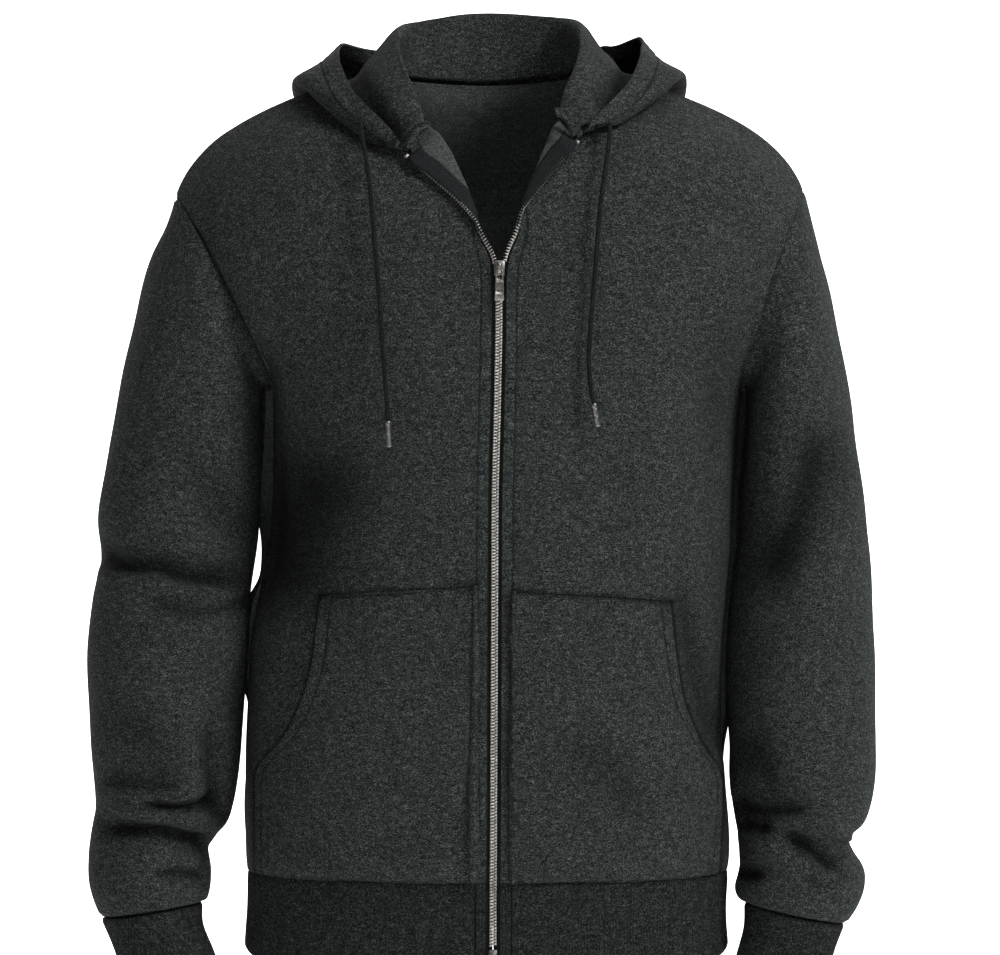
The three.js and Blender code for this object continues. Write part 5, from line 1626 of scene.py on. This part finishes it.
def rounded(half_low, half_high, low, high, radius, steps=4):
    """A four-sided outline with round corners, from its lower to its upper edge"""
    corners = [(-half_low, low), (half_low, low), (half_high, high), (-half_high, high)]
    outline = []
    for k, corner in enumerate(corners):
        corner = np.array(corner, float)
        before = corner + unit(np.array(corners[k - 1]) - corner) * radius
        after = corner + unit(np.array(corners[(k + 1) % 4]) - corner) * radius
        for t in np.linspace(0, 1, steps + 1):
            outline.append(before * (1 - t) ** 2 + 2 * corner * t * (1 - t) + after * t * t)
    return np.array(outline)


AXES = (np.array([1.0, 0, 0]), np.array([0, 0, 1.0]), np.array([0, -1.0, 0]))


def block(outline, depth, chamfer, middle, axes=AXES, hollow=None):
    """A placed prism. Its outline, and its hollow's, are what rounded takes"""
    hole = rounded(*hollow) if hollow else None
    return placed(prism(rounded(*outline), depth, chamfer, hole), middle, *axes)


# Slider: each block's outline by half width below and above, lower and upper edge and corner
# radius, then its depth, its chamfer, and where its middle lies across and in Y. The bail
# is a strap bent along a line of places in Y and height
PLATE = (3.9, 4.6, -6.0, 6.0, 1.6)
SLIDER_WALL = (0.55, 0.55, -5.6, 1.5, 0.3)
SLIDER_BLOCKS = [
    (PLATE, 1.5, 0.35, 0, -135.6),
    (PLATE, 1.3, 0.3, 0, -131.3),
    ((1.2, 1.6, 0.5, 5.4, 0.5), 4.0, 0.1, 0, -133.4),
    (SLIDER_WALL, 3.6, 0.1, -3.4, -133.4),
    (SLIDER_WALL, 3.6, 0.1, 3.4, -133.4),
]
BAIL = [(-136.2, 4.7), (-138.0, 4.6), (-139.6, 3.9), (-140.5, 2.2), (-140.6, 0), (-140.5, -2.2),
        (-139.6, -3.9), (-138.0, -4.6), (-136.2, -4.7)]
BAIL_STEPS = 49
BAIL_RADIUS = 1.25
BAIL_SIDES = 16
STRAP_FLATNESS = 0.45
STRAP_LEAST = 0.42


def strap(run, angle):
    """A flat strap's radius round its middle, the same all along its run"""
    wide = 1 / np.maximum(np.abs(np.cos(angle)), SMALL)
    flat = STRAP_FLATNESS / np.maximum(np.abs(np.sin(angle)), SMALL)
    return np.maximum(STRAP_LEAST, np.minimum(wide, flat))


low, high = (np.array(corner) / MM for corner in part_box("zip_slider"))
slider_x, slider_z = (low[0] + high[0]) / 2, (low[2] + high[2]) / 2
parts = [
    block(outline, depth, chamfer, (slider_x + across, y, slider_z))
    for outline, depth, chamfer, across, y in SLIDER_BLOCKS
]
bail = row_value([(slider_x, y, z + slider_z) for y, z in BAIL], np.linspace(0, len(BAIL) - 1, BAIL_STEPS))
parts.append(tube(bail, BAIL_RADIUS, BAIL_SIDES, strap))
slider = add_piece("slider", parts, SLIDER_LOOK)
stands_for("zip_slider")

# Pull tab, its outlines given from the pivot: a window that the bail runs through, and a
# plate with a raised border and a slot at its free end
TAB_PIVOT = (3.6, -138.4, -149.9)
TAB_LENGTH = 24
TAB_PLATE = (3.8, 3.25, -TAB_LENGTH, -7.9, 1.1)
TAB_BLOCKS = [
    ((3.2, 3.1, -8.6, 0.85, 1.3), 1.5, 0.3, (1.75, 1.75, -7.0, -0.75, 0.8)),
    (TAB_PLATE, 1.6, 0.3, (2.75, 2.3, -16.6, -9.4, 0.7)),
    (TAB_PLATE, 0.9, 0.2, (2.0, 1.9, -22.8, -17.6, 0.5)),
]

tab_parts = [
    block(outline, depth, chamfer, TAB_PIVOT, hollow=hollow)
    for outline, depth, chamfer, hollow in TAB_BLOCKS
]
tab = add_piece("pull_tab", tab_parts, SLIDER_LOOK, body="pull_tab")
tab.data.materials.append(TAB_FIELD_LOOK)
field_faces = tab_parts[-1][1]
for polygon in list(tab.data.polygons)[-len(field_faces):]:
    polygon.material_index = 1
stands_for("zip_pull_tab")

# Top stops, a block with a ridge round it, past the last row of each line of teeth
STOP_BLOCKS = [((1.9, 1.9, -1.5, 1.5, 0.7), 2.9, 0.5), ((1.7, 1.7, -0.35, 0.35, 0.2), 3.3, 0.1)]
STOP_PAST_TEETH = 2.5
STOP_LOOK_BACK = 0.2

for side, name in NAMES.items():
    end = teeth_line(side, float(OPEN_TEETH_TO))
    along = unit(end - teeth_line(side, OPEN_TEETH_TO - STOP_LOOK_BACK))
    across = unit(np.array([-float(side), 0, 0]) - along * (-float(side) * along[0]))
    middle = end + along * STOP_PAST_TEETH
    axes = (across, along, facing_out(along, across))
    stop_parts = [block(*stop_block, middle, axes) for stop_block in STOP_BLOCKS]
    stop = add_piece(f"stop_{name}", stop_parts, METAL_LOOK)
    stands_for(f"zip_stop_{name}")

# Bottom box, with a raised field on it: half width, how far its ends are drawn in, corner
# radius, depth and chamfer
BOX_HIGH_Z = -688.5
BOX_LOW_Z = -701
BOX_BLOCKS = [(3.3, 0, 0.8, 3.9, 0.5), (2.0, 1.6, 0.6, 4.3, 0.2)]

low, high = (np.array(corner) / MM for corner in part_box("zip_box"))
low[2], high[2] = BOX_LOW_Z, BOX_HIGH_Z
half_height = (BOX_HIGH_Z - BOX_LOW_Z) / 2
box_parts = [
    block((half, half, inset - half_height, half_height - inset, radius), depth, chamfer, (low + high) / 2)
    for half, inset, radius, depth, chamfer in BOX_BLOCKS
]
box_piece = add_piece("bottom_box", box_parts, SLIDER_LOOK)
stands_for("zip_box")
